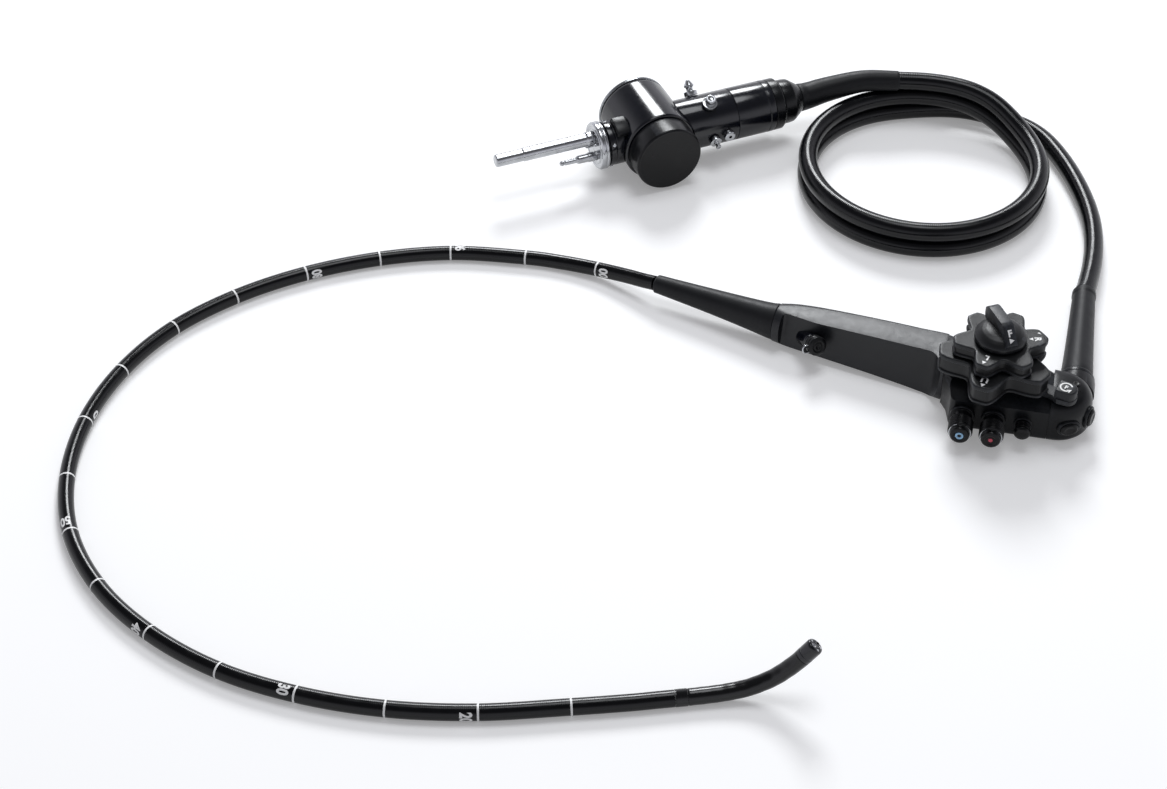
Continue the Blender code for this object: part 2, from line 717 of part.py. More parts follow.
def build_shafts():
    """Two tubular shafts with their chain drums, one inside the other."""
    tops = {"rl": RL_KNOB_TOP - 0.0015, "ud": UD_KNOB_TOP - 0.0010}
    lows = {"rl": CHASSIS_TOP + KNOB_SPACE}
    lows["ud"] = lows["rl"] + DRUM_HEIGHT + KNOB_SPACE
    for side in ("rl", "ud"):
        inner = SHAFT_INNER[side]
        outer = SHAFT_OUTER[side]
        low = lows[side]
        waist = DRUM_RADIUS - 0.0014
        third = DRUM_HEIGHT / 3.0
        profile = [(inner, tops[side]), (outer, tops[side]), (outer, low + DRUM_HEIGHT),
                   (DRUM_RADIUS, low + DRUM_HEIGHT), (waist, low + 2.0 * third), (waist, low + third),
                   (DRUM_RADIUS, low), (inner, low)]
        turned_part(side + "_shaft", profile, 14, "steel")


def star_outline(radius, depth, lobes, phase, tip_share, count):
    """Knob outline: round lobes with concave scoops between them."""
    points = []
    half = math.pi / lobes
    for index in range(lobes * count):
        turn = math.tau * index / (lobes * count)
        share = abs(((turn + half) % (2.0 * half)) - half) / half
        inside = max(0.0, (share - tip_share) / (1.0 - tip_share))
        reach = radius - depth * math.sin(inside * math.pi / 2.0) ** 1.35
        points.append((reach * math.cos(turn + phase), reach * math.sin(turn + phase)))
    return points


def knob_mesh(name, outline, bore, low, high, edge):
    """Scalloped knob with softened upper and lower rims and a bore."""
    levels = [(low, edge), (low + edge, 0.0), (high - edge, 0.0), (high, edge)]
    body = pillow_mesh(name, lambda inset: inset_outline(outline, inset), levels)
    return joined_mesh(name, body, [], [rod_mesh(name + "_bore", bore, low - 0.002, high + 0.002, 16)])


def build_knobs():
    """The two angulation knobs."""
    ud = star_outline(UD_KNOB_RADIUS, UD_SCOOP_DEPTH, UD_LOBES, UD_PHASE, 0.20, 12)
    mesh = knob_mesh("ud_knob", ud, SHAFT_OUTER["ud"] + GAP, UD_KNOB_LOW, UD_KNOB_TOP, 0.0012)
    add_object("ud_knob", mesh, "knob_grey")
    rl = star_outline(RL_KNOB_RADIUS, RL_SCOOP_DEPTH, RL_LOBES, RL_PHASE, 0.22, 10)
    mesh = knob_mesh("rl_knob", rl, SHAFT_OUTER["rl"] + GAP, RL_KNOB_LOW, RL_KNOB_TOP, 0.0010)
    add_object("rl_knob", mesh, "knob_grey")


def build_lock_knob():
    """Domed disc with a finger bar, on top of the fixed post."""
    rim = LOCK_LOW + LOCK_DISC_RIM
    dome = rim + LOCK_DISC_DOME
    bore = POST_DIAMETER / 2.0 + TURN_GAP
    top = LOCK_LOW + 0.0048
    profile = [(0.0, dome), (0.0060, dome - 0.0004), (0.0110, dome - 0.0014), (LOCK_DISC_RADIUS - 0.0020, rim),
               (LOCK_DISC_RADIUS, rim - 0.0012), (LOCK_DISC_RADIUS, LOCK_LOW + 0.0006),
               (LOCK_DISC_RADIUS - 0.0006, LOCK_LOW), (bore, LOCK_LOW), (bore, top), (0.0, top)]
    disc = turned_mesh("disc", profile, 28)
    reach = LOCK_DISC_RADIUS
    half = LOCK_BAR_WIDTH / 2.0
    side = [(-reach + 0.0010, top + 0.0001), (reach - 0.0004, top + 0.0001), (reach - 0.0004, rim + 0.0016),
            (reach * 0.45, dome + LOCK_BAR_RISE - 0.0010), (reach * 0.30, dome + LOCK_BAR_RISE),
            (-reach * 0.80, dome + LOCK_BAR_RISE - 0.0006), (-reach - 0.0006, dome + LOCK_BAR_RISE - 0.0030),
            (-reach - 0.0006, rim + 0.0030)]
    bar = outline_mesh("bar", [side], -half, half)
    upright = Matrix.Rotation(LOCK_BAR_TURN, 4, "Z") @ Matrix.Rotation(math.pi / 2.0, 4, "X")
    moved_mesh(bar, upright)
    return add_object("rl_lock_knob", joined_mesh("rl_lock_knob", disc, [bar]), "knob_grey")


def build_lock_lever():
    """Lever around the shafts that brakes the larger knob."""
    high = LEVER_LOW + LEVER_THICKNESS
    bore = SHAFT_OUTER["ud"] + GAP
    half = LEVER_WIDTH / 2.0
    neck = 0.0045
    hub = rod_mesh("hub", LEVER_HUB_RADIUS, LEVER_LOW, high, 28)
    inner = LEVER_REACH - LEVER_TAB_LENGTH
    arm_outline = [(0.0, -neck), (inner, -neck), (inner + 0.004, -half), *arc((LEVER_REACH - half, 0.0), half, -60, 60, 7),
                   (inner + 0.004, half), (inner, neck), (0.0, neck)]
    arm = outline_mesh("arm", [arm_outline], LEVER_LOW, high)
    tab_outline = [(inner + 0.0015, -half + 0.001), *arc((LEVER_REACH - half, 0.0), half - 0.0004, -58, 58, 7),
                   (inner + 0.0015, half - 0.001)]
    tab_top = high + LEVER_TAB_RISE
    tab_levels = [(LEVER_LOW + 0.001, 0.0), (tab_top - 0.001, 0.0), (tab_top, 0.001)]
    tab = pillow_mesh("tab", lambda inset: inset_outline(tab_outline, inset), tab_levels)
    bore_rod = rod_mesh("lever_bore", bore, LEVER_LOW - 0.002, high + 0.002, 24)
    lever = joined_mesh("ud_lock_lever", hub, [arm, tab], [bore_rod])
    turn = Matrix.Rotation(HEAD_TURN + LEVER_TURN, 4, "Z")
    return add_object("ud_lock_lever", moved_mesh(lever, turn), "knob_grey")


def build_valve(name, place):
    """Fixed valve cylinder, spring and push button, Z out of the front of the head."""
    frame = valve_matrix(place)
    wall = HEAD_FRONT + GAP
    collar_end = VALVE_FACE - VALVE_CAP_LENGTH + VALVE_TRAVEL
    flange = 0.0018
    profile = [(VALVE_BORE_RADIUS, collar_end), (VALVE_COLLAR_RADIUS, collar_end),
               (VALVE_COLLAR_RADIUS, wall + flange), (VALVE_CAP_RADIUS, wall + flange),
               (VALVE_CAP_RADIUS, wall), (VALVE_TUBE_RADIUS, wall),
               (VALVE_TUBE_RADIUS, wall - VALVE_TUBE_DEPTH), (VALVE_BORE_RADIUS, wall - VALVE_TUBE_DEPTH)]
    turned_part(name + "_cylinder", profile, 16, "shell_black", HEAD, frame)
    roof = collar_end + VALVE_TRAVEL + 0.0006
    skirt = VALVE_COLLAR_RADIUS + TURN_GAP
    low = VALVE_FACE - VALVE_CAP_LENGTH
    stem_end = wall - VALVE_TUBE_DEPTH + VALVE_TRAVEL
    groove = 0.0005
    cap = [(0.0, VALVE_FACE), (VALVE_CAP_RADIUS - 0.0016, VALVE_FACE), (VALVE_CAP_RADIUS - 0.0006, VALVE_FACE - 0.0010)]
    for step in range(2):
        top = VALVE_FACE - 0.0022 - step * 0.0040
        cap += [(VALVE_CAP_RADIUS, top), (VALVE_CAP_RADIUS, top - 0.0030), (VALVE_CAP_RADIUS - groove, top - 0.0032)]
    cap += [(VALVE_CAP_RADIUS - groove, low), (skirt, low), (skirt, roof), (VALVE_STEM_RADIUS, roof),
            (VALVE_STEM_RADIUS, stem_end), (0.0, stem_end)]
    turned_part(name + "_button", cap, 16, "button_rubber", HEAD, frame)
    middle = (VALVE_COLLAR_RADIUS + VALVE_STEM_RADIUS) / 2.0 + 0.0003
    turns = 3
    low_end = collar_end + GAP + SPRING_WIRE
    high_end = roof - GAP - SPRING_WIRE
    per_turn = 7
    count = turns * per_turn
    route = [(middle * math.cos(math.tau * step / per_turn), middle * math.sin(math.tau * step / per_turn),
              low_end + (high_end - low_end) * step / count) for step in range(count + 1)]
    centres = [Vector(point) for point in route]
    coil = loft_mesh(name + "_spring", sweep_rings(centres, [SPRING_WIRE] * len(centres), 4))
    add_object(name + "_spring", coil, "steel", HEAD, frame)


def build_switches():
    """Four remote switches: a round stalk and two oval keys on the side, and a low disc on top."""
    frames = switch_frames()
    lift = SWITCH_TRAVEL + 0.0005
    stem = SWITCH_STEM_RADIUS
    stalk = [(0.0, SWITCH_STALK), (0.0036, SWITCH_STALK), (0.0046, SWITCH_STALK - 0.0010), (0.0046, lift),
             (stem, lift), (stem, -SWITCH_STEM_DEPTH), (0.0, -SWITCH_STEM_DEPTH)]
    turned_part("switch_1", stalk, 20, "button_rubber", HEAD, frames["switch_1"])
    pad = [(0.0, SWITCH_PAD), (0.0034, SWITCH_PAD - 0.0002), (0.0044, SWITCH_PAD - 0.0010), (0.0044, lift), (0.0, lift)]
    for name, stretch in (("switch_2", (1.3, 1.0)), ("switch_3", (1.0, 1.4))):
        oval = moved_mesh(turned_mesh("pad", pad, 20), Matrix.Diagonal((*stretch, 1.0, 1.0)))
        key = joined_mesh(name, oval, [rod_mesh("stem", stem, -SWITCH_STEM_DEPTH, lift + 0.0003, 12)])
        add_object(name, key, "button_rubber", HEAD, frames[name])
    disc = [(0.0, SWITCH_DISC), (stem - 0.0001, SWITCH_DISC), (stem, SWITCH_DISC - 0.0002), (stem, -0.0060),
            (0.0, -0.0060)]
    turned_part("switch_4", disc, 16, "button_rubber", HEAD, frames["switch_4"])


def rounded_section(x_at, front, back, low, high, lower_radius, upper_radius):
    """Section of the grip: a rounded rectangle, six points to each corner."""
    corners = [(front + lower_radius, low + lower_radius, lower_radius, 180.0),
               (back - lower_radius, low + lower_radius, lower_radius, 270.0),
               (back - upper_radius, high - upper_radius, upper_radius, 0.0),
               (front + upper_radius, high - upper_radius, upper_radius, 90.0)]
    points = []
    for y_centre, z_centre, radius, start in corners:
        for step in range(5):
            turn = math.radians(start + 9.0 + 18.0 * step)
            y_place = y_centre + radius * math.cos(turn)
            z_place = z_centre + radius * math.sin(turn)
            points.append((x_at(y_place), y_place, z_place))
    return points


def build_grip():
    """Grip casing: round at the boot, flat topped and wider at the head, with a finger recess."""
    half = GRIP_ROUND / 2.0
    clear = GRIP_SEAM + GAP
    across = math.cos(HEAD_TURN)
    slant = math.sin(HEAD_TURN)

    def seam_x(y_place):
        return (-clear - y_place * slant) / across

    rows = [
        (-GRIP_START, GRIP_AXIS_Y - half, GRIP_AXIS_Y + half, GRIP_AXIS_Z - half, GRIP_AXIS_Z + half, half, half),
        (-0.1350, -0.0006, 0.0258, 0.0014, 0.0278, 0.0120, 0.0090),
        (-0.1150, -0.0012, 0.0264, 0.0010, 0.0286, 0.0120, 0.0060),
        (-0.0800, -0.0028, 0.0272, 0.0007, 0.0302, 0.0120, 0.0040),
        (-0.0550, -0.0045, 0.0278, 0.0005, 0.0312, 0.0115, 0.0035),
    ]
    sections = [rounded_section(lambda y_place, place=row[0]: place, *row[1:]) for row in rows]
    sections.append(rounded_section(seam_x, GRIP_SEAM_FRONT, GRIP_SEAM_BACK, 0.0004, HEAD_TOP, 0.0100, 0.0030))
    grip = add_object("grip_shell", loft_mesh("grip_shell", sections), "body_grey")
    outline = [(-RECESS_START, 0.0085), (-RECESS_START + 0.022, RECESS_EDGE_Y), (-RECESS_END - 0.004, RECESS_EDGE_Y),
               (-RECESS_END, 0.0040), (-RECESS_END + 0.0065, -0.0040), (-RECESS_END + 0.0065, -0.0300),
               (-RECESS_START, -0.0300)]
    flat = [(x, y - RECESS_EDGE_Y) for x, y in outline]
    block = outline_mesh("recess", [flat[::-1]], -0.050, 0.012)
    lean = Matrix.Translation((0.0, RECESS_EDGE_Y, HEAD_TOP - 0.002)) @ Matrix.Rotation(-RECESS_LEAN, 4, "X")
    cut(grip, cutter("recess", block, None, lean))
    bore = rod_mesh("grip_bore", GRIP_BORE / 2.0, 0.0, 0.200, 24)
    start = frame_along((-GRIP_START - 0.010, GRIP_BORE_Y, GRIP_BORE_Z), (1.0, 0.0, 0.0))
    cut(grip, cutter("grip_bore", bore, None, start))
    socket = rod_mesh("port_hole", PORT_RADIUS + GAP, -0.006, 0.030, 20)
    cut(grip, cutter("port_hole", socket, None, port_frame()))
    return grip


def port_frame():
    """Frame of the instrument port, Z out of the grip."""
    along = Vector(PORT_MOUTH) - Vector(PORT_BASE)
    return frame_along(PORT_BASE, along)


def build_port():
    """Branch for instruments and its hinged rubber cap."""
    length = (Vector(PORT_MOUTH) - Vector(PORT_BASE)).length
    mouth = length - PORT_CAP_THICKNESS
    profile = [(PORT_CHANNEL, mouth), (PORT_RADIUS + 0.0009, mouth), (PORT_RADIUS + 0.0009, mouth - 0.0030),
               (PORT_RADIUS, mouth - 0.0038), (PORT_RADIUS, -0.0020), (PORT_CHANNEL, -0.0020)]
    turned_part("biopsy_port", profile, 20, "steel", None, port_frame())
    low = mouth + GAP
    high = low + PORT_CAP_THICKNESS
    disc = turned_mesh("disc", [(PORT_CHANNEL, high), (0.0045, high), (PORT_CAP_RADIUS, high - 0.0010),
                                (PORT_CAP_RADIUS, low), (PORT_CHANNEL, low)], 24)
    ear = box_mesh("ear", (-PORT_CAP_RADIUS - 0.0022, -0.0022, low), (-PORT_CAP_RADIUS + 0.0012, 0.0022, high - 0.0008))
    add_object("biopsy_cap", joined_mesh("biopsy_cap", disc, [ear]), "button_rubber", None, port_frame())


def bend_frames():
    """Rest frames of the bending section: Z along it, X its up-down hinge axis, Y up."""
    forward = Vector((math.cos(BEND_HEADING), math.sin(BEND_HEADING), 0.0))
    place = Vector((*BEND_START, TUBE_REST_Z)) + forward * FIRST_PIVOT
    frames = []
    lift = 0.0
    for index in range(2 * len(REST_ANGLES) - 1):
        if index % 2 == 0:
            lift += math.radians(REST_ANGLES[index // 2])
        heading = forward * math.cos(lift) + Vector((0.0, 0.0, math.sin(lift)))
        rise = Vector((0.0, 0.0, math.cos(lift))) - forward * math.sin(lift)
        frames.append(frame_along(place, heading, rise))
        place = place + heading * PIVOT_PITCH
    return frames


TUBE_REST_Z = TUBE_DIAMETER / 2.0 + TABLE_GAP
QUARTER = Matrix.Rotation(math.pi / 2.0, 4, "Z")


def tab_meshes(pivot, root, outside, hole=None):
    """Two flat tabs on plus and minus X, round around a pivot height, joined to a ring at root."""
    away = 1.0 if pivot > root else -1.0
    rim = [(away * point[0], point[1]) for point in arc((0.0, 0.0), TAB_RADIUS, -90.0, 90.0, 4)]
    loops = [[(root - pivot, -TAB_RADIUS), *rim, (root - pivot, TAB_RADIUS)]]
    if hole:
        loops.append(arc((0.0, 0.0), hole, 0.0, 300.0, 6))
    made = []
    for side in (1.0, -1.0):
        flat = outline_mesh("tab", loops, side * outside - TAB_THICKNESS / 2.0, side * outside + TAB_THICKNESS / 2.0)
        stand = Matrix(((0.0, 0.0, 1.0, 0.0), (0.0, 1.0, 0.0, 0.0), (1.0, 0.0, 0.0, pivot), (0.0, 0.0, 0.0, 1.0)))
        flat.transform(stand)
        flat.flip_normals()
        made.append(flat)
    return made


def inner_tabs(pivot, root):
    """Tabs with pins that fit inside the neighbour's tabs."""
    middle = TAB_OUTSIDE - 1.5 * TAB_THICKNESS - TAB_SPACE
    made = tab_meshes(pivot, root, middle)
    for side in (1.0, -1.0):
        place = frame_along((0.0, 0.0, pivot), (side, 0.0, 0.0))
        made.append(moved_mesh(rod_mesh("pin", PIN_RADIUS, middle, TAB_OUTSIDE - 0.0001, 6), place))
    return made


def outer_tabs(pivot, root):
    """Tabs with pin holes, outside the inner ones of the next ring."""
    return tab_meshes(pivot, root, TAB_OUTSIDE - TAB_THICKNESS / 2.0, PIN_RADIUS * 1.4)


def ring_profile(low, high):
    """Profile of a ring of the bending section."""
    return [(BONE_BORE, high), (BONE_RADIUS, high), (BONE_RADIUS, low), (BONE_BORE, low)]


def build_bending_section():
    """Base collar, eight jointed rings and their rubber cover."""
    frames = bend_frames()
    ring_low = BONE_EDGE
    ring_high = PIVOT_PITCH - BONE_EDGE
    ring = turned_mesh("ring", ring_profile(ring_low, ring_high), BONE_SIDES)
    far_tabs = [moved_mesh(tab, QUARTER) for tab in outer_tabs(PIVOT_PITCH, ring_high - 0.0008)]
    bone = joined_mesh("vertebra", ring, [*inner_tabs(0.0, ring_low + 0.0008), *far_tabs])
    for index in range(len(frames) - 1):
        turn = Matrix() if index % 2 == 0 else QUARTER
        add_object(f"vertebra_{index + 1}", bone, "steel", None, frames[index] @ turn)
    forward = Vector((math.cos(BEND_HEADING), math.sin(BEND_HEADING), 0.0))
    base_frame = frame_along(frames[0].translation, forward)
    collar_end = -FIRST_PIVOT - GAP
    neck_end = -BONE_EDGE
    collar = turned_mesh("collar", [(BONE_BORE, neck_end), (BONE_RADIUS, neck_end), (BONE_RADIUS, collar_end),
                                    (TUBE_DIAMETER / 2.0, collar_end),
                                    (TUBE_DIAMETER / 2.0, collar_end - BEND_COLLAR_LENGTH),
                                    (0.0, collar_end - BEND_COLLAR_LENGTH), (0.0, collar_end - 0.001),
                                    (BONE_BORE, collar_end - 0.001)], 16)
    base = joined_mesh("bending_base", collar, outer_tabs(0.0, neck_end - 0.0008))
    add_object("bending_base", base, "steel", None, base_frame)
    build_rubber(frames, base_frame)
    build_tip(frames[-1])


def build_rubber(frames, base_frame):
    """Rubber cover of the bending section, a thin tube that follows the pivots."""
    centres = [base_frame @ Vector((0.0, 0.0, -FIRST_PIVOT))]
    centres += [frame.translation.copy() for frame in frames[::2]]
    centres.append(frames[-1] @ Vector((0.0, 0.0, TIP_NECK - GAP)))
    outer = TUBE_DIAMETER / 2.0
    inner = BONE_RADIUS + RUBBER_WALL
    outer_rings = sweep_rings(centres, [outer] * len(centres), 14)
    inner_rings = sweep_rings(centres, [inner] * len(centres), 14)
    mesh = loft_mesh("bending_rubber", outer_rings + inner_rings[::-1], True)
    add_object("bending_rubber", mesh, "tube_black")


def build_tip(frame):
    """Rigid tip with its instrument channel, lenses and nozzle."""
    neck = turned_mesh("neck", [(0.0, TIP_LENGTH), (TIP_RADIUS - 0.0009, TIP_LENGTH),
                                (TIP_RADIUS - 0.0002, TIP_LENGTH - 0.0006), (TIP_RADIUS, TIP_LENGTH - 0.0016),
                                (TIP_RADIUS, TIP_NECK), (BONE_RADIUS, TIP_NECK), (BONE_RADIUS, BONE_EDGE),
                                (BONE_BORE, BONE_EDGE), (BONE_BORE, TIP_NECK), (0.0, TIP_NECK)], 20)
    face = TIP_LENGTH
    drills = []
    x_channel, y_channel = TIP_CHANNEL_PLACE
    drill = rod_mesh("channel", TIP_CHANNEL_RADIUS, 0.004, face + 0.002, 12)
    drills.append(moved_mesh(drill, Matrix.Translation((x_channel, y_channel, 0.0))))
    seats = {"objective_lens": (*OBJECTIVE_PLACE, OBJECTIVE_RADIUS)}
    for name, place in LIGHT_PLACES.items():
        seats[name] = (*place, LIGHT_RADIUS)
    for name, (x_seat, y_seat, radius) in seats.items():
        seat = rod_mesh(name, radius + 0.0001, face - LENS_DEPTH - GAP, face + 0.002, 12)
        drills.append(moved_mesh(seat, Matrix.Translation((x_seat, y_seat, 0.0))))
        lens = [(0.0, face - 0.0001), (radius * 0.7, face - 0.0002), (radius, face - 0.0004),
                (radius, face - LENS_DEPTH), (0.0, face - LENS_DEPTH)]
        turned_part(name, lens, 12, "glass", None, frame @ Matrix.Translation((x_seat, y_seat, 0.0)))
    x_nozzle, y_nozzle = NOZZLE_PLACE
    seat = rod_mesh("nozzle_seat", NOZZLE_RADIUS + 0.0001, face - 0.0020, face + 0.002, 12)
    drills.append(moved_mesh(seat, Matrix.Translation((x_nozzle, y_nozzle, 0.0))))
    nozzle = [(0.0, face + 0.0007), (NOZZLE_RADIUS - 0.0002, face + 0.0007), (NOZZLE_RADIUS, face + 0.0004),
              (NOZZLE_RADIUS, face - 0.0017), (0.0, face - 0.0017)]
    turned_part("water_nozzle", nozzle, 12, "steel", None, frame @ Matrix.Translation((x_nozzle, y_nozzle, 0.0)))
    body = joined_mesh("tip_body", neck, inner_tabs(0.0, BONE_EDGE + 0.0008), drills)
    add_object("tip_body", body, "shell_black", None, frame)


def swept_boot(name, route, base, tip):
    """Tapered rubber boot along a route. Returns its end point and heading there."""
    centres = smooth_route(route, 0.0090)
    count = len(centres) - 1
    radii = [base + (tip - base) * (step / count) ** 0.7 for step in range(count + 1)]
    add_object(name, loft_mesh(name, sweep_rings(centres, radii, 18)), "boot_rubber")
    return centres[-1], (centres[-1] - centres[-2]).normalized()


def build_insertion_tube():
    """Tapered boot at the grip, and the flexible tube from it to the bending section's collar."""
    start = Vector((-GRIP_START - GAP, GRIP_AXIS_Y, GRIP_AXIS_Z))
    straight = start - Vector((0.008, 0.0, 0.0))
    middle = start.lerp(Vector(TUBE_BOOT_END), 0.5)
    route = [start, straight, middle, TUBE_BOOT_END]
    end, heading = swept_boot("insertion_boot", route, GRIP_ROUND / 2.0 - 0.0002, TUBE_BOOT_TIP_RADIUS)
    forward = Vector((math.cos(BEND_HEADING), math.sin(BEND_HEADING), 0.0))
    last = Vector((*BEND_START, TUBE_REST_Z)) - forward * (BEND_COLLAR_LENGTH + 2.0 * GAP)
    tube_route = [end + heading * CORD_END_GAP, end + heading * CORD_LEAVE, *TUBE_ROUTE,
                  last - forward * CORD_LEAVE, last]
    cord_part("insertion_tube", tube_route, TUBE_DIAMETER, "tube_black", 0.0260, 3)


def build_universal_cord():
    """Collar, boots, the cord's free stretches and the coil between them."""
    face = HEAD_BACK + 0.0008 + GAP
    collar_frame = frame_along((CORD_SOCKET_U, face, CORD_SOCKET_Z), (0.0, 1.0, 0.0))
    collar = [(0.0, CORD_COLLAR_LENGTH), (CORD_COLLAR_RADIUS - 0.0012, CORD_COLLAR_LENGTH),
              (CORD_COLLAR_RADIUS - 0.0004, CORD_COLLAR_LENGTH - 0.0010), (CORD_COLLAR_RADIUS - 0.0004, 0.0), (0.0, 0.0)]
    turned_part("cord_collar", collar, 28, "shell_black", HEAD, collar_frame)
    start_v = face + CORD_COLLAR_LENGTH + GAP
    far_v = start_v + CORD_BOOT_LENGTH
    stations = [(start_v, 0.0), (start_v + 0.008, 0.0), ((start_v + far_v) / 2.0, CORD_BOOT_DROP * 0.45),
                (far_v, CORD_BOOT_DROP)]
    route = [HEAD.matrix_basis @ Vector((CORD_SOCKET_U, v, CORD_SOCKET_Z - drop)) for v, drop in stations]
    end, heading = swept_boot("cord_boot", route, CORD_BOOT_RADIUS, CORD_BOOT_TIP_RADIUS)
    exit_route = [*CORD_EXIT_ROUTE, end + heading * CORD_LEAVE, end + heading * CORD_END_GAP]
    cord_part("universal_cord_exit", exit_route, CORD_DIAMETER, "tube_black", 0.0200, 3)
    radius = CORD_DIAMETER / 2.0
    height = COIL_LAYERS * CORD_DIAMETER
    profile = []
    for layer in range(COIL_LAYERS):
        middle = height - radius - layer * CORD_DIAMETER
        profile += [(COIL_RADIUS + radius * math.sin(turn), middle + radius * math.cos(turn))
                    for turn in (math.radians(angle) for angle in (22.0, 90.0, 158.0))]
    for layer in reversed(range(COIL_LAYERS)):
        middle = height - radius - layer * CORD_DIAMETER
        profile += [(COIL_RADIUS + radius * math.sin(turn), middle + radius * math.cos(turn))
                    for turn in (math.radians(angle) for angle in (202.0, 270.0, 338.0))]
    turned_part("universal_cord_coil", profile, 36, "tube_black", None, Matrix.Translation((*COIL_CENTRE, 0.0)))


CONNECTOR_FOOT = Matrix.Translation((*CONNECTOR_PLACE, HOUSING_RADIUS + TABLE_GAP))
CONNECTOR = add_frame("connector", CONNECTOR_FOOT @ Matrix.Rotation(CONNECTOR_TURN, 4, "Z"))


def connector_frame(along, side=0.0, height=0.0, direction=(1.0, 0.0, 0.0)):
    """Frame in the connector with Z along a direction."""
    return frame_along((along, side, height), direction)


def build_connector_boot():
    """Curved boot between the connector's neck and the cord, and the cord's short lead."""
    place = CONNECTOR.matrix_basis
    first = place @ Vector((NECK_END + GAP, 0.0, 0.0))
    second = place @ Vector((NECK_END + 0.008, 0.0, 0.0))
    route = [first, second, *CONNECTOR_BOOT_ROUTE]
    end, heading = swept_boot("connector_boot", route, NECK_RADIUS, CONNECTOR_BOOT_TIP_RADIUS)
    lead_route = [end + heading * CORD_END_GAP, end + heading * CORD_LEAVE, *CORD_LEAD_ROUTE]
    cord_part("universal_cord_lead", lead_route, CORD_DIAMETER, "tube_black", 0.0120, 3)


def round_casing(name, start, end, radius, wall, finish, steps=24):
    """Open tube along the connector's axis."""
    profile = [(radius - wall, end), (radius - 0.0003, end), (radius, end - 0.0003), (radius, start + 0.0003),
               (radius - 0.0003, start), (radius - wall, start)]
    return turned_part(name, profile, steps, finish, CONNECTOR, connector_frame(0.0))


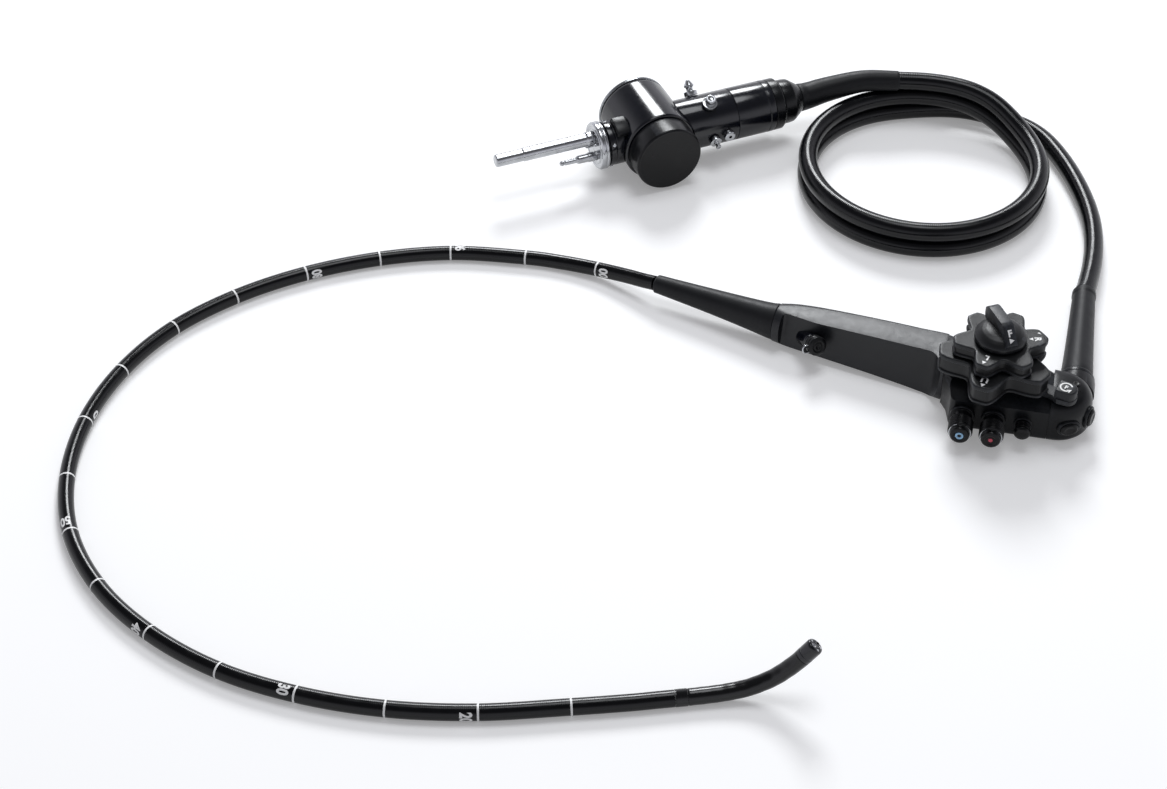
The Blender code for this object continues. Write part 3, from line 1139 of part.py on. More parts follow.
def build_connector():
    """Connector: flange with its pins, barrel, cross housing, sleeves, neck and fittings."""
    cross = (0.0, 1.0, 0.0)
    flange = [(0.0, FLANGE_LENGTH), (BARREL_RADIUS - 0.0006, FLANGE_LENGTH), (FLANGE_RADIUS - 0.0003, FLANGE_LENGTH - 0.0004),
              (FLANGE_RADIUS, FLANGE_LENGTH - 0.0018), (FLANGE_RADIUS, 0.0010), (FLANGE_RADIUS - 0.0010, 0.0),
              (0.0, 0.0)]
    ring = turned_part("flange_ring", flange, 24, "steel", CONNECTOR, connector_frame(0.0))
    for name, radius, (side, height) in (("guide", GUIDE_RADIUS, GUIDE_OFFSET), ("pin", PIN_AIR_RADIUS, PIN_AIR_OFFSET)):
        seat = rod_mesh(name, radius + GAP, -0.002, PIN_SEAT_DEPTH, 20)
        cut(ring, cutter(name + "_seat", seat, CONNECTOR, connector_frame(0.0, side, height)))
    foot = GAP - PIN_SEAT_DEPTH
    out = (-1.0, 0.0, 0.0)
    side, height = GUIDE_OFFSET
    guide = [(0.0, GUIDE_LENGTH), (GUIDE_RADIUS - 0.0008, GUIDE_LENGTH), (GUIDE_RADIUS - 0.0004, GUIDE_LENGTH - 0.0006),
             (GUIDE_RADIUS - 0.0004, GUIDE_LENGTH - 0.0200), (GUIDE_RADIUS, GUIDE_LENGTH - 0.0206),
             (GUIDE_RADIUS, foot), (0.0, foot)]
    turned_part("light_guide_tube", guide, 16, "steel", CONNECTOR, connector_frame(0.0, side, height, out))
    side, height = PIN_AIR_OFFSET
    thin = PIN_AIR_RADIUS - 0.0011
    air = [(0.0, PIN_AIR_LENGTH), (thin - 0.0004, PIN_AIR_LENGTH), (thin, PIN_AIR_LENGTH - 0.0006),
           (thin, PIN_AIR_LENGTH - 0.0120), (PIN_AIR_RADIUS, PIN_AIR_LENGTH - 0.0124),
           (PIN_AIR_RADIUS, foot), (0.0, foot)]
    turned_part("air_pin", air, 16, "steel", CONNECTOR, connector_frame(0.0, side, height, out))

    barrel = round_casing("front_barrel", FLANGE_LENGTH + GAP, HOUSING_AT, BARREL_RADIUS, BARREL_WALL, "shell_black")
    sleeve = round_casing("front_sleeve", HOUSING_AT, SLEEVE_JOINT, SLEEVE_RADIUS, SLEEVE_WALL, "shell_black")
    for part in (barrel, sleeve):
        rod = rod_mesh("clear", HOUSING_RADIUS + GAP, -0.060, 0.060, 32)
        cut(part, cutter(part.name + "_clear", rod, CONNECTOR, connector_frame(HOUSING_AT, 0.0, 0.0, cross)))

    inner = HOUSING_RADIUS - HOUSING_WALL
    housing = [(inner, HOUSING_BACK), (HOUSING_RADIUS - 0.0020, HOUSING_BACK), (HOUSING_RADIUS, HOUSING_BACK - 0.0022),
               (HOUSING_RADIUS, -HOUSING_JOINT + 0.0010), (HOUSING_RADIUS - 0.0010, -HOUSING_JOINT),
               (inner, -HOUSING_JOINT)]
    turned_part("cross_housing", housing, 32, "shell_black", CONNECTOR, connector_frame(HOUSING_AT, 0.0, 0.0, cross))
    joint = -HOUSING_JOINT - GAP
    cap = [(0.0, joint), (CAP_RADIUS, joint), (CAP_RADIUS, -CAP_FACE + 0.0012), (CAP_RADIUS - 0.0012, -CAP_FACE),
           (0.0, -CAP_FACE)]
    turned_part("housing_cap", cap, 32, "shell_black", CONNECTOR, connector_frame(HOUSING_AT, 0.0, 0.0, cross))
    low = HOUSING_BACK - CONTACT_SEAT
    high = HOUSING_BACK + CONTACT_LENGTH
    contact = [(0.0, high - 0.0020), (CONTACT_RADIUS - 0.0035, high - 0.0020), (CONTACT_RADIUS - 0.0035, high),
               (CONTACT_RADIUS - 0.0006, high), (CONTACT_RADIUS, high - 0.0006), (CONTACT_RADIUS, low), (0.0, low)]
    turned_part("contact_plug", contact, 32, "steel", CONNECTOR, connector_frame(HOUSING_AT, 0.0, 0.0, cross))

    rear = round_casing("rear_sleeve", SLEEVE_JOINT + GAP, SLEEVE_END, SLEEVE_RADIUS, SLEEVE_WALL, "shell_black")
    ring_end = SLEEVE_END + NECK_RING_LENGTH
    neck = [(0.0, NECK_END), (NECK_RADIUS, NECK_END), (NECK_RADIUS + 0.0045, NECK_END - 0.0062),
            (NECK_RADIUS + 0.0052, NECK_END - 0.0075), (NECK_RADIUS + 0.0056, ring_end + 0.0008),
            (NECK_RADIUS + 0.0048, ring_end + 0.0004), (SLEEVE_RADIUS - 0.0012, ring_end),
            (SLEEVE_RADIUS - 0.0002, ring_end - 0.0010), (SLEEVE_RADIUS - 0.0002, SLEEVE_END + GAP),
            (0.0, SLEEVE_END + GAP)]
    turned_part("neck_ring", neck, 24, "shell_black", CONNECTOR, connector_frame(0.0))
    build_fittings(sleeve, rear)


def fitting_frame(along, angle, radius):
    """Frame on a round casing, Z along its outward radius. Angle 0 is up, positive towards the viewer."""
    turn = math.radians(angle)
    outward = (0.0, -math.sin(turn), math.cos(turn))
    place = (along, outward[1] * radius, outward[2] * radius)
    return frame_along(place, outward, (1.0, 0.0, 0.0))


def build_fittings(sleeve, rear):
    """Suction nipple, earth stud, water port and the clip on the barrel."""
    bed = -SLEEVE_WALL - 0.0010
    nipple = [(0.0, 0.0118), (0.0012, 0.0118), (0.0036, 0.0078), (0.0036, 0.0068), (0.0024, 0.0062), (0.0024, 0.0040),
              (0.0048, 0.0034), (0.0048, GAP), (0.0030, GAP), (0.0030, bed), (0.0, bed)]
    stud = [(0.0, 0.0084), (0.0030, 0.0084), (0.0036, 0.0076), (0.0036, 0.0050), (0.0030, 0.0044), (0.0030, 0.0036),
            (0.0052, 0.0032), (0.0052, 0.0005), (0.0032, 0.0005), (0.0032, bed), (0.0, bed)]
    port = [(0.0, 0.0062), (0.0014, 0.0062), (0.0016, 0.0050), (0.0016, 0.0030), (0.0034, 0.0026), (0.0034, 0.0004),
            (0.0026, 0.0004), (0.0026, bed), (0.0, bed)]
    makes = {
        "suction_nipple": (nipple, FITTINGS_AT - 0.003, -42.0, 0.0030),
        "earth_stud": (stud, FITTINGS_AT + 0.002, 22.0, 0.0032),
        "water_port": (port, FITTINGS_AT + 0.002, 104.0, 0.0026),
    }
    for name, (profile, along, angle, stem) in makes.items():
        frame = fitting_frame(along, angle, SLEEVE_RADIUS)
        turned_part(name, profile, 12, "steel", CONNECTOR, frame)
        hole = rod_mesh(name, stem + GAP, -0.008, 0.008, 16)
        cut(sleeve, cutter(name + "_hole", hole, CONNECTOR, frame))
    clip_start = FLANGE_LENGTH + 0.0055
    clip_end = HOUSING_AT - HOUSING_RADIUS + 0.0060
    half = 0.0080
    low = BARREL_RADIUS * math.cos(math.asin(half / BARREL_RADIUS)) - 0.0015
    clip = box_mesh("label_clip", (clip_start, -half, low), (clip_end, half, BARREL_RADIUS + 0.0038))
    lean = Matrix.Rotation(math.radians(18.0), 4, "X")
    part = add_object("label_clip", clip, "shell_black", CONNECTOR, lean)
    rod = rod_mesh("clip_bed", BARREL_RADIUS + GAP, 0.0, 0.060, 32)
    cut(part, cutter("clip_bed", rod, CONNECTOR, connector_frame(0.0)))
    rod = rod_mesh("clip_clear", HOUSING_RADIUS + GAP, -0.060, 0.060, 40)
    cut(part, cutter("clip_clear", rod, CONNECTOR, connector_frame(HOUSING_AT, 0.0, 0.0, (0.0, 1.0, 0.0))))


def build():
    """Builds every part."""
    build_head_shell()
    build_end_cover()
    build_bottom_cover()
    build_chassis()
    build_shafts()
    build_knobs()
    build_lock_knob()
    build_lock_lever()
    for name, place in VALVE_PLACES.items():
        build_valve(name, place)
    build_switches()
    build_grip()
    build_port()
    build_insertion_tube()
    build_bending_section()
    build_universal_cord()
    build_connector()
    build_connector_boot()


build()
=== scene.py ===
import json
import math

import bmesh
import bpy
from mathutils import Matrix, Vector


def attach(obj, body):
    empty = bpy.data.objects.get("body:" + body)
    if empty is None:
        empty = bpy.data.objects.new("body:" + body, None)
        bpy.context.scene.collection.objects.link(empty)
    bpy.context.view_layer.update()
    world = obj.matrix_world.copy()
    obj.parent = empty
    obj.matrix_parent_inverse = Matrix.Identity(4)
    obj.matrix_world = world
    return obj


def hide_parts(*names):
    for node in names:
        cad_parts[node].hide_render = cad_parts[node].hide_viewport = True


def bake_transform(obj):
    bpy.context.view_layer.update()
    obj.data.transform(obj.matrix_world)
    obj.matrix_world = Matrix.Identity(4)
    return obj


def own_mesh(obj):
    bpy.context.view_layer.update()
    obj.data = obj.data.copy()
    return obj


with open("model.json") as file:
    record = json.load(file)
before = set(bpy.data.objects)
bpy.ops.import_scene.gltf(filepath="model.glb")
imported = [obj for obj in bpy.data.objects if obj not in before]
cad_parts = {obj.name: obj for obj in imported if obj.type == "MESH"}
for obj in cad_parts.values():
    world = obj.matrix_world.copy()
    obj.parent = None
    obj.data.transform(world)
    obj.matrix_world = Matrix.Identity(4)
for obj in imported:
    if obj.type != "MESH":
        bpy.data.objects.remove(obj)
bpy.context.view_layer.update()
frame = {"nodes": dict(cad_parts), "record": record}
NODES = frame["nodes"]
UP = Vector((0.0, 0.0, 1.0))
ALONG_X = (1.0, 0.0, 0.0)
ALONG_Y = (0.0, 1.0, 0.0)
TO_FRONT = (0.0, -1.0, 0.0)

# Sizes shared with the part's source, in metres
TUBE_DIAMETER = 0.0098
TUBE_REST_Z = 0.0050
CORD_DIAMETER = 0.0130
COIL_CENTRE = Vector((-0.1147, 0.2114, 0.0))
COIL_RADIUS = 0.0810
HEAD_TURN = math.radians(12.0)
HEAD_TOP = 0.0320
HEAD_FRONT = 0.0205
HEAD_SEAM = 0.0360
GRIP_SEAM = 0.0310
SEAM_GAP = 0.0003
END_CENTRE = 0.0400
END_REACH = 0.0215
CORD_PLACE = 0.0505
CORD_HEIGHT = 0.0165
BEND_HEADING = math.radians(31.5)
BEND_START = Vector((-0.0808, -0.2975, TUBE_REST_Z))
CONNECTOR_TURN = math.radians(46.4)
CONNECTOR_PLACE = Vector((-0.3272, 0.1248, 0.0262))

HEAD = Matrix.Rotation(HEAD_TURN, 4, "Z")
CONNECTOR = Matrix.Translation(CONNECTOR_PLACE) @ Matrix.Rotation(CONNECTOR_TURN, 4, "Z")


# Camera

def make_camera():
    """The camera at the photograph's viewing angle."""
    data = bpy.data.cameras.new("camera")
    data.lens = 73.27
    data.sensor_width = 36.0
    data.clip_start = 0.01
    data.clip_end = 50.0
    camera = bpy.data.objects.new("camera", data)
    camera.location = (0.22407, -1.10855, 0.9999)
    camera.rotation_euler = (math.radians(48.25), 0.0, math.radians(24.4))
    bpy.context.scene.collection.objects.link(camera)
    bpy.context.scene.camera = camera


make_camera()


# Points and lines

def mm(*rows):
    """Rows of numbers given in millimetres, in metres."""
    return [tuple(value / 1000.0 for value in row) for row in rows]


def circle(count):
    """Even turns once round, in radians."""
    return [math.tau * step / count for step in range(count)]


def around(turn, radius, centre=(0.0, 0.0)):
    """Point on a circle."""
    return (centre[0] + radius * math.cos(turn), centre[1] + radius * math.sin(turn))


def spoke(turn):
    """Level direction at a turn."""
    return Vector((*around(turn, 1.0), 0.0))


def arc(centre, radius, start, end, count):
    """Points of an arc, angles in degrees."""
    turns = [math.radians(start + (end - start) * step / (count - 1)) for step in range(count)]
    return [around(turn, radius, centre) for turn in turns]


def raised(outline, height):
    """An outline at a height."""
    return [(x, y, height) for x, y in outline]


def eased(share):
    """A smooth step from 0 to 1."""
    share = min(1.0, max(0.0, share))
    return share * share * (3.0 - 2.0 * share)


def frame_along(start, direction, up=UP):
    """Matrix at a point whose Z runs along a direction and whose Y leans towards up."""
    axis = Vector(direction).normalized()
    side = Vector(up).cross(axis)
    if side.length < 1e-6:
        side = Vector(ALONG_X)
    side.normalize()
    turn = Matrix((side, axis.cross(side), axis)).transposed().to_4x4()
    return Matrix.Translation(Vector(start)) @ turn


def rounded_corner(before, corner, after, radius, count):
    """Points of one corner, rounded."""
    first = before - corner
    second = after - corner
    reach = min(radius, first.length * 0.45, second.length * 0.45)
    start = corner + first.normalized() * reach
    end = corner + second.normalized() * reach
    shares = [step / count for step in range(count + 1)]
    points = [start.lerp(corner, share).lerp(corner.lerp(end, share), share) for share in shares]
    return [tuple(point) for point in points]


def soften(profile, radius):
    """Rounds the corners of an open profile of (radius, height) points."""
    points = [Vector(point) for point in profile]
    made = [profile[0]]
    for before, corner, after in zip(points, points[1:], points[2:]):
        straight = (before - corner).angle(after - corner, 0.0) > math.radians(172.0)
        made += [tuple(corner)] if straight else rounded_corner(before, corner, after, radius, 3)
    return made + [profile[-1]]


def rounded_polygon(outline, radius, count=4):
    """A closed outline with rounded corners."""
    points = [Vector(point) for point in outline]
    made = []
    for index, corner in enumerate(points):
        made += rounded_corner(points[index - 1], corner, points[(index + 1) % len(points)], radius, count)
    return made


def inset_outline(outline, distance):
    """Moves each side of a counter-clockwise outline inwards."""
    moved = []
    for index, point in enumerate(outline):
        before = Vector(point) - Vector(outline[index - 1])
        after = Vector(outline[(index + 1) % len(outline)]) - Vector(point)
        first = Vector((-before.y, before.x)).normalized()
        second = Vector((-after.y, after.x)).normalized()
        shift = (first + second) * (distance / (1.0 + first.dot(second)))
        moved.append((point[0] + shift.x, point[1] + shift.y))
    return moved


def curve_weights(share):
    """Weights of the four points around a stretch of a smooth curve, at a share of it."""
    square = share ** 2
    cube = share ** 3
    leave = (cube - 2.0 * square + share) * 0.5
    arrive = (cube - square) * 0.5
    middle = 3.0 * square - 2.0 * cube
    return -leave, 1.0 - middle - arrive, middle + leave, arrive


def spline(rows, position):
    """A smooth curve through rows of numbers at a position counted in rows."""
    index = min(int(position), len(rows) - 2)
    weights = curve_weights(position - index)
    near = [rows[min(max(index + step, 0), len(rows) - 1)] for step in (-1, 0, 1, 2)]
    return [sum(weight * value for weight, value in zip(weights, column)) for column in zip(*near)]


def smooth_route(points, spacing):
    """Evenly spaced points on a smooth curve through a route's own points."""
    route = [Vector(point) for point in points]
    padded = [route[0] * 2.0 - route[1], *route, route[-1] * 2.0 - route[-2]]
    fine = []
    for near in zip(padded, padded[1:], padded[2:], padded[3:]):
        for step in range(24):
            weighted = [point * weight for weight, point in zip(curve_weights(step / 24.0), near)]
            fine.append(sum(weighted, Vector()))
    fine.append(route[-1])
    total = distances(fine)[-1]
    count = max(2, round(total / spacing))
    spaced = [fine[0]]
    travelled = 0.0
    target = total / count
    for first, second in zip(fine, fine[1:]):
        step = (second - first).length
        while travelled + step >= target - 1e-9 and len(spaced) < count:
            spaced.append(first.lerp(second, (target - travelled) / step))
            target += total / count
        travelled += step
    return spaced + [fine[-1]]


def averaged(line, reach):
    """A dense line with its corners rounded, its ends kept."""
    made = []
    for index in range(len(line)):
        around_here = min(reach, index, len(line) - 1 - index)
        near = line[index - around_here:index + around_here + 1]
        made.append(sum(near, Vector()) / len(near))
    return made


def distances(line):
    """Distance along a line at each of its points."""
    made = [0.0]
    for first, second in zip(line, line[1:]):
        made.append(made[-1] + (second - first).length)
    return made


class Track:
    """A line of points, with the distance and the side and rise directions at each of them."""

    def __init__(self, line):
        self.line = line
        self.along = distances(line)
        self.length = self.along[-1]
        self.frames = []
        side = None
        for index in range(len(line)):
            heading = (line[min(index + 1, len(line) - 1)] - line[max(index - 1, 0)]).normalized()
            if side is None:
                side = heading.cross(UP)
            side = (side - heading * side.dot(heading)).normalized()
            self.frames.append((side.copy(), side.cross(heading), heading))

    def nearest(self, point):
        """Distance along the line of its point nearest to another."""
        gaps = [(place - Vector(point)).length for place in self.line]
        return self.along[gaps.index(min(gaps))]

    def at(self, target):
        """Point, side, rise and heading at a distance along the line."""
        index = 1
        while self.along[index] < target and index < len(self.line) - 1:
            index += 1
        share = (target - self.along[index - 1]) / (self.along[index] - self.along[index - 1])
        point = self.line[index - 1].lerp(self.line[index], share)
        return (point, *(first.lerp(second, share).normalized()
                         for first, second in zip(self.frames[index - 1], self.frames[index])))

    def hoop(self, target, radius, sides):
        """Points round the line at a distance along it."""
        point, side, rise, _ = self.at(target)
        return [point + (side * math.cos(turn) + rise * math.sin(turn)) * radius for turn in circle(sides)]


# Meshes

def smoothed(mesh, angle):
    """Smooths a mesh, with sharp edges kept where it folds."""
    mesh.shade_smooth()
    mesh.set_sharp_from_angle(angle=math.radians(angle))
    return mesh


def new_mesh(name, vertices, faces, uvs=None, angle=35.0):
    """A smooth mesh from lists, its faces turned outwards. One with UVs is welded along its seam."""
    mesh = bpy.data.meshes.new(name)
    mesh.from_pydata([tuple(vertex) for vertex in vertices], [], faces)
    working = bmesh.new()
    if uvs is not None:
        layer = mesh.uv_layers.new(name="UVMap")
        for loop in mesh.loops:
            layer.data[loop.index].uv = uvs[loop.vertex_index]
    working.from_mesh(mesh)
    if uvs is not None:
        bmesh.ops.remove_doubles(working, verts=working.verts, dist=0.000001)
    bmesh.ops.recalc_face_normals(working, faces=working.faces)
    working.to_mesh(mesh)
    working.free()
    return smoothed(mesh, angle)


def quads(rings, closed=False, wrapped=True):
    """Faces between neighbouring rings of vertex numbers."""
    faces = []
    for near, far in zip(rings, [*rings[1:], rings[0]] if closed else rings[1:]):
        for step in range(len(near) if wrapped else len(near) - 1):
            after = (step + 1) % len(near)
            loop = [near[step], near[after], far[after], far[step]]
            face = [value for place, value in enumerate(loop) if value != loop[place - 1]]
            if len(face) > 2:
                faces.append(face)
    return faces


def numbered(rows):
    """Rings of vertex numbers for rows of equal length."""
    width = len(rows[0])
    return [range(row * width, (row + 1) * width) for row in range(len(rows))]


def skin(name, rows):
    """An open sleeve through rings of points."""
    return new_mesh(name, [point for row in rows for point in row], quads(numbered(rows)))


def loft(name, sections, closed=False, angle=35.0):
    """Joins rings of equal point counts and fills the ends of an open loft."""
    rings = numbered(sections)
    ends = [] if closed else [list(rings[0]), list(rings[-1])]
    return new_mesh(name, [point for row in sections for point in row], quads(rings, closed) + ends, None, angle)


def turned(name, profile, steps=64, edge=0.0003, closed=False):
    """Turns a profile of (radius, height) in millimetres about Z, with its corners rounded."""
    points = mm(*profile)
    vertices = []
    rings = []
    for radius, height in soften(points, edge) if edge else points:
        if radius < 1e-6:
            rings.append([len(vertices)] * steps)
            vertices.append((0.0, 0.0, height))
            continue
        rings.append(range(len(vertices), len(vertices) + steps))
        vertices += [(*around(turn, radius), height) for turn in circle(steps)]
    return new_mesh(name, vertices, quads(rings, closed))


def tube(name, centres, radii, sides=32):
    """A tube along a path, with its length in metres and its turn as UVs, closed at both ends."""
    track = Track(centres)
    vertices = []
    uvs = []
    for centre, radius, travelled, (side, rise, _) in zip(centres, radii, track.along, track.frames):
        for step in range(sides + 1):
            turn = math.tau * step / sides
            vertices.append(centre + (side * math.cos(turn) + rise * math.sin(turn)) * radius)
            uvs.append((travelled, step / sides))
    width = sides + 1
    rings = [range(row * width, (row + 1) * width) for row in range(len(centres))]
    ends = [list(rings[0][:sides]), list(rings[-1][:sides])]
    return new_mesh(name, vertices, quads(rings, False, False) + ends, uvs)


def torus(name, centre, reach, wide, high, steps):
    """A closed ring lying flat round a centre, of an oval section."""
    sections = []
    for turn in circle(steps):
        outward = spoke(turn)
        middle = Vector(centre) + outward * reach
        sections.append([middle + outward * (wide * math.cos(angle)) + UP * (high * math.sin(angle))
                         for angle in circle(12)])
    return loft(name, sections, True)


def prism(outline, low, high):
    """A straight solid of an outline between two heights."""
    return loft("prism", [raised(outline, low), raised(outline, high)])


def slab(low, high):
    """A box between two corners."""
    return prism([low[:2], (high[0], low[1]), high[:2], (low[0], high[1])], low[2], high[2])


def plate(name, outline, low, high, edge, steps):
    """A plate with rounded rims between two heights."""
    turns = [math.radians(90.0 * step / steps) for step in range(steps, -1, -1)]
    rims = [(edge * (1.0 - math.sin(turn)), edge * (1.0 - math.cos(turn))) for turn in turns]
    rows = [(low + rise, inset) for rise, inset in rims] + [(high - rise, inset) for rise, inset in rims[::-1]]
    return loft(name, [raised(inset_outline(outline, inset), height) for height, inset in rows])


def layers(outline_at, rows, count, first=0):
    """Sections of an outline at smooth heights and insets."""
    sections = []
    for step in range(first, count + 1):
        height, inset = spline(rows, (len(rows) - 1) * step / count)
        sections.append(raised(outline_at(max(0.0, inset)), height))
    return sections


def place(mesh, matrix):
    """Moves a mesh and returns it."""
    mesh.transform(matrix)
    return mesh


def merged(name, meshes):
    """Several meshes as one, each keeping its own shape."""
    working = bmesh.new()
    for mesh in meshes:
        working.from_mesh(mesh)
    result = bpy.data.meshes.new(name)
    working.to_mesh(result)
    working.free()
    return smoothed(result, 35.0)


def carved(name, base, additions=(), cuts=(), bevel=0.0, segments=3):
    """Joins and cuts meshes, then rounds the edges that this leaves."""
    helpers = []

    def helper(mesh):
        made = bpy.data.objects.new(f"{name}_{len(helpers)}", mesh)
        bpy.context.scene.collection.objects.link(made)
        helpers.append(made)
        return made

    holder = helper(base)
    for meshes, operation in ((additions, "UNION"), (cuts, "DIFFERENCE")):
        for mesh in meshes:
            step = holder.modifiers.new(operation.lower(), "BOOLEAN")
            step.operation = operation
            step.solver = "EXACT"
            step.object = helper(mesh)
    if bevel:
        rounding = holder.modifiers.new("rounding", "BEVEL")
        rounding.width = bevel
        rounding.segments = segments
        rounding.limit_method = "ANGLE"
        rounding.angle_limit = math.radians(28.0)
        rounding.use_clamp_overlap = True
        rounding.harden_normals = False
    result = evaluated(holder)
    for made in helpers:
        bpy.data.objects.remove(made, do_unlink=True)
    result.name = name
    return smoothed(result, 40.0)


def evaluated(holder):
    """An object's finished mesh."""
    bpy.context.view_layer.update()
    graph = bpy.context.evaluated_depsgraph_get()
    return bpy.data.meshes.new_from_object(holder.evaluated_get(graph))


# Materials

class Tree:
    """A node tree under construction."""

    def __init__(self, tree):
        self.tree = tree

    def node(self, kind, **values):
        """Adds a node and sets its named inputs."""
        made = self.tree.nodes.new(kind)
        for name, value in values.items():
            made.inputs[name.replace("_", " ")].default_value = value
        return made

    def link(self, source, target):
        """Joins two sockets."""
        self.tree.links.new(source, target)

    def maths(self, operation, *values):
        """A Math node of one or two values or sockets."""
        made = self.node("ShaderNodeMath")
        made.operation = operation
        for index, value in enumerate(values):
            if isinstance(value, (int, float)):
                made.inputs[index].default_value = value
            else:
                self.link(value, made.inputs[index])
        return made.outputs[0]

    def spread(self, factor, low, high, start=0.3, end=0.7):
        """Maps a factor between two values."""
        made = self.node("ShaderNodeMapRange", From_Min=start, From_Max=end, To_Min=low, To_Max=high)
        self.link(factor, made.inputs["Value"])
        return made.outputs["Result"]

    def seen_directly(self):
        """1 where a camera, glossy or transmission ray meets the surface."""
        rays = self.node("ShaderNodeLightPath").outputs
        total = rays["Is Camera Ray"]
        for name in ("Is Glossy Ray", "Is Transmission Ray"):
            total = self.maths("MAXIMUM", total, rays[name])
        return total


class Shader(Tree):
    """A piece's material under construction."""

    def __init__(self, name, colour, roughness, metallic=0.0, specular=0.5):
        self.material = bpy.data.materials.new(name)
        self.material.use_nodes = True
        super().__init__(self.material.node_tree)
        self.shader = self.tree.nodes["Principled BSDF"]
        self.set("Base Color", (*colour, 1.0))
        self.set("Roughness", roughness)
        self.set("Metallic", metallic)
        self.set("Specular IOR Level", specular)
        self.heights = None

    def set(self, socket, value):
        """Sets one socket of the main shader."""
        self.shader.inputs[socket].default_value = value

    def noise(self, scale, detail=3.0):
        """A noise texture's factor, its scale counted per metre."""
        made = self.node("ShaderNodeTexNoise", Scale=scale, Detail=detail, Roughness=0.5)
        self.link(self.node("ShaderNodeTexCoord").outputs["Object"], made.inputs["Vector"])
        return made.outputs["Fac"]

    def mix(self, factor, first, second):
        """A colour between two colours or sockets."""
        made = self.node("ShaderNodeMix")
        made.data_type = "RGBA"
        for index, value in ((6, first), (7, second)):
            if isinstance(value, tuple):
                made.inputs[index].default_value = (*value, 1.0)
            else:
                self.link(value, made.inputs[index])
        self.link(factor, made.inputs[0])
        return made.outputs[2]

    def mottled(self, scale, detail, dark, light):
        """A colour that wanders between two."""
        return self.mix(self.spread(self.noise(scale, detail), 0.0, 1.0), dark, light)

    def bump(self, height, strength, distance):
        """Adds a bump on top of those already there."""
        made = self.node("ShaderNodeBump", Strength=strength, Distance=distance)
        self.link(height, made.inputs["Height"])
        if self.heights is not None:
            self.link(self.heights, made.inputs["Normal"])
        self.heights = made.outputs["Normal"]
        self.link(self.heights, self.shader.inputs["Normal"])

    def colour(self, socket):
        """Feeds the base colour."""
        self.link(socket, self.shader.inputs["Base Color"])

    def rough(self, scale, detail, low, high):
        """Feeds the roughness from a noise."""
        self.link(self.spread(self.noise(scale, detail), low, high), self.shader.inputs["Roughness"])


def tint(colour, share):
    """A colour made lighter or darker."""
    return tuple(min(1.0, channel * share) for channel in colour)


def plastic(name, colour, roughness, specular, grain, depth, edge_wear_and_highlight):
    """Moulded plastic or rubber: fine grain, faint mottling, and lighter edges, partly rubbed wear and partly a painted
    edge highlight.
    """
    made = Shader(name, colour, roughness, 0.0, specular)
    body = made.mottled(90.0, 4.0, tint(colour, 0.88), tint(colour, 1.14))
    # Sharp edges are painted lighter: partly rubbed wear, partly a painted highlight along the edges.
    pointed = made.node("ShaderNodeNewGeometry").outputs["Pointiness"]
    edge = made.spread(pointed, 0.0, 1.0, 0.508, 0.56)
    edge_scuffs_and_highlight = made.maths("MULTIPLY", edge, made.spread(made.noise(500.0, 5.0), 0.25, 1.0))
    made.colour(made.mix(edge_scuffs_and_highlight, body, tint(colour, edge_wear_and_highlight)))
    made.rough(260.0, 5.0, roughness - 0.03, roughness + 0.04)
    made.bump(made.noise(grain, 2.0), depth, 0.00006)
    return made.material


def ribbed_cord(name, colour, roughness, pitch, depth, specular):
    """Glossy cord sheath with fine ribs across it, from the tube's UVs."""
    made = Shader(name, colour, roughness, 0.0, specular)
    along = made.node("ShaderNodeSeparateXYZ")
    made.link(made.node("ShaderNodeTexCoord").outputs["UV"], along.inputs[0])
    wave = made.maths("SINE", made.maths("MULTIPLY", along.outputs["X"], math.tau / pitch))
    made.rough(160.0, 4.0, roughness - 0.05, roughness + 0.08)
    made.colour(made.mottled(60.0, 3.0, tint(colour, 0.8), tint(colour, 1.25)))
    made.bump(wave, depth, 0.00010)
    made.bump(made.noise(900.0), 0.10, 0.00012)
    return made.material


def metal(name, colour, roughness, brushed=0.12, scale=2600.0):
    """Machined metal with faint turning marks and slight stains."""
    made = Shader(name, colour, roughness, 1.0)
    made.colour(made.mottled(180.0, 5.0, tint(colour, 0.86), tint(colour, 1.06)))
    made.rough(700.0, 4.0, roughness - 0.06, roughness + 0.10)
    made.bump(made.noise(scale, 2.0), brushed, 0.00003)
    return made.material


def print_ink(name, colour):
    """Printed marking, a little worn through."""
    made = Shader(name, colour, 0.45)
    worn = made.spread(made.noise(2600.0, 4.0), 0.0, 1.0, 0.25, 0.45)
    made.colour(made.mix(worn, tint(colour, 0.72), colour))
    made.bump(made.noise(4000.0, 2.0), 0.08, 0.00003)
    return made.material


def lens_glass(name, dark, light):
    """Coated glass, mottled between two colours."""
    made = Shader(name, dark, 0.04, 0.0, 0.9)
    made.colour(made.mottled(900.0, 2.0, dark, light))
    made.set("Coat Weight", 1.0)
    made.set("Coat Roughness", 0.03)
    return made.material


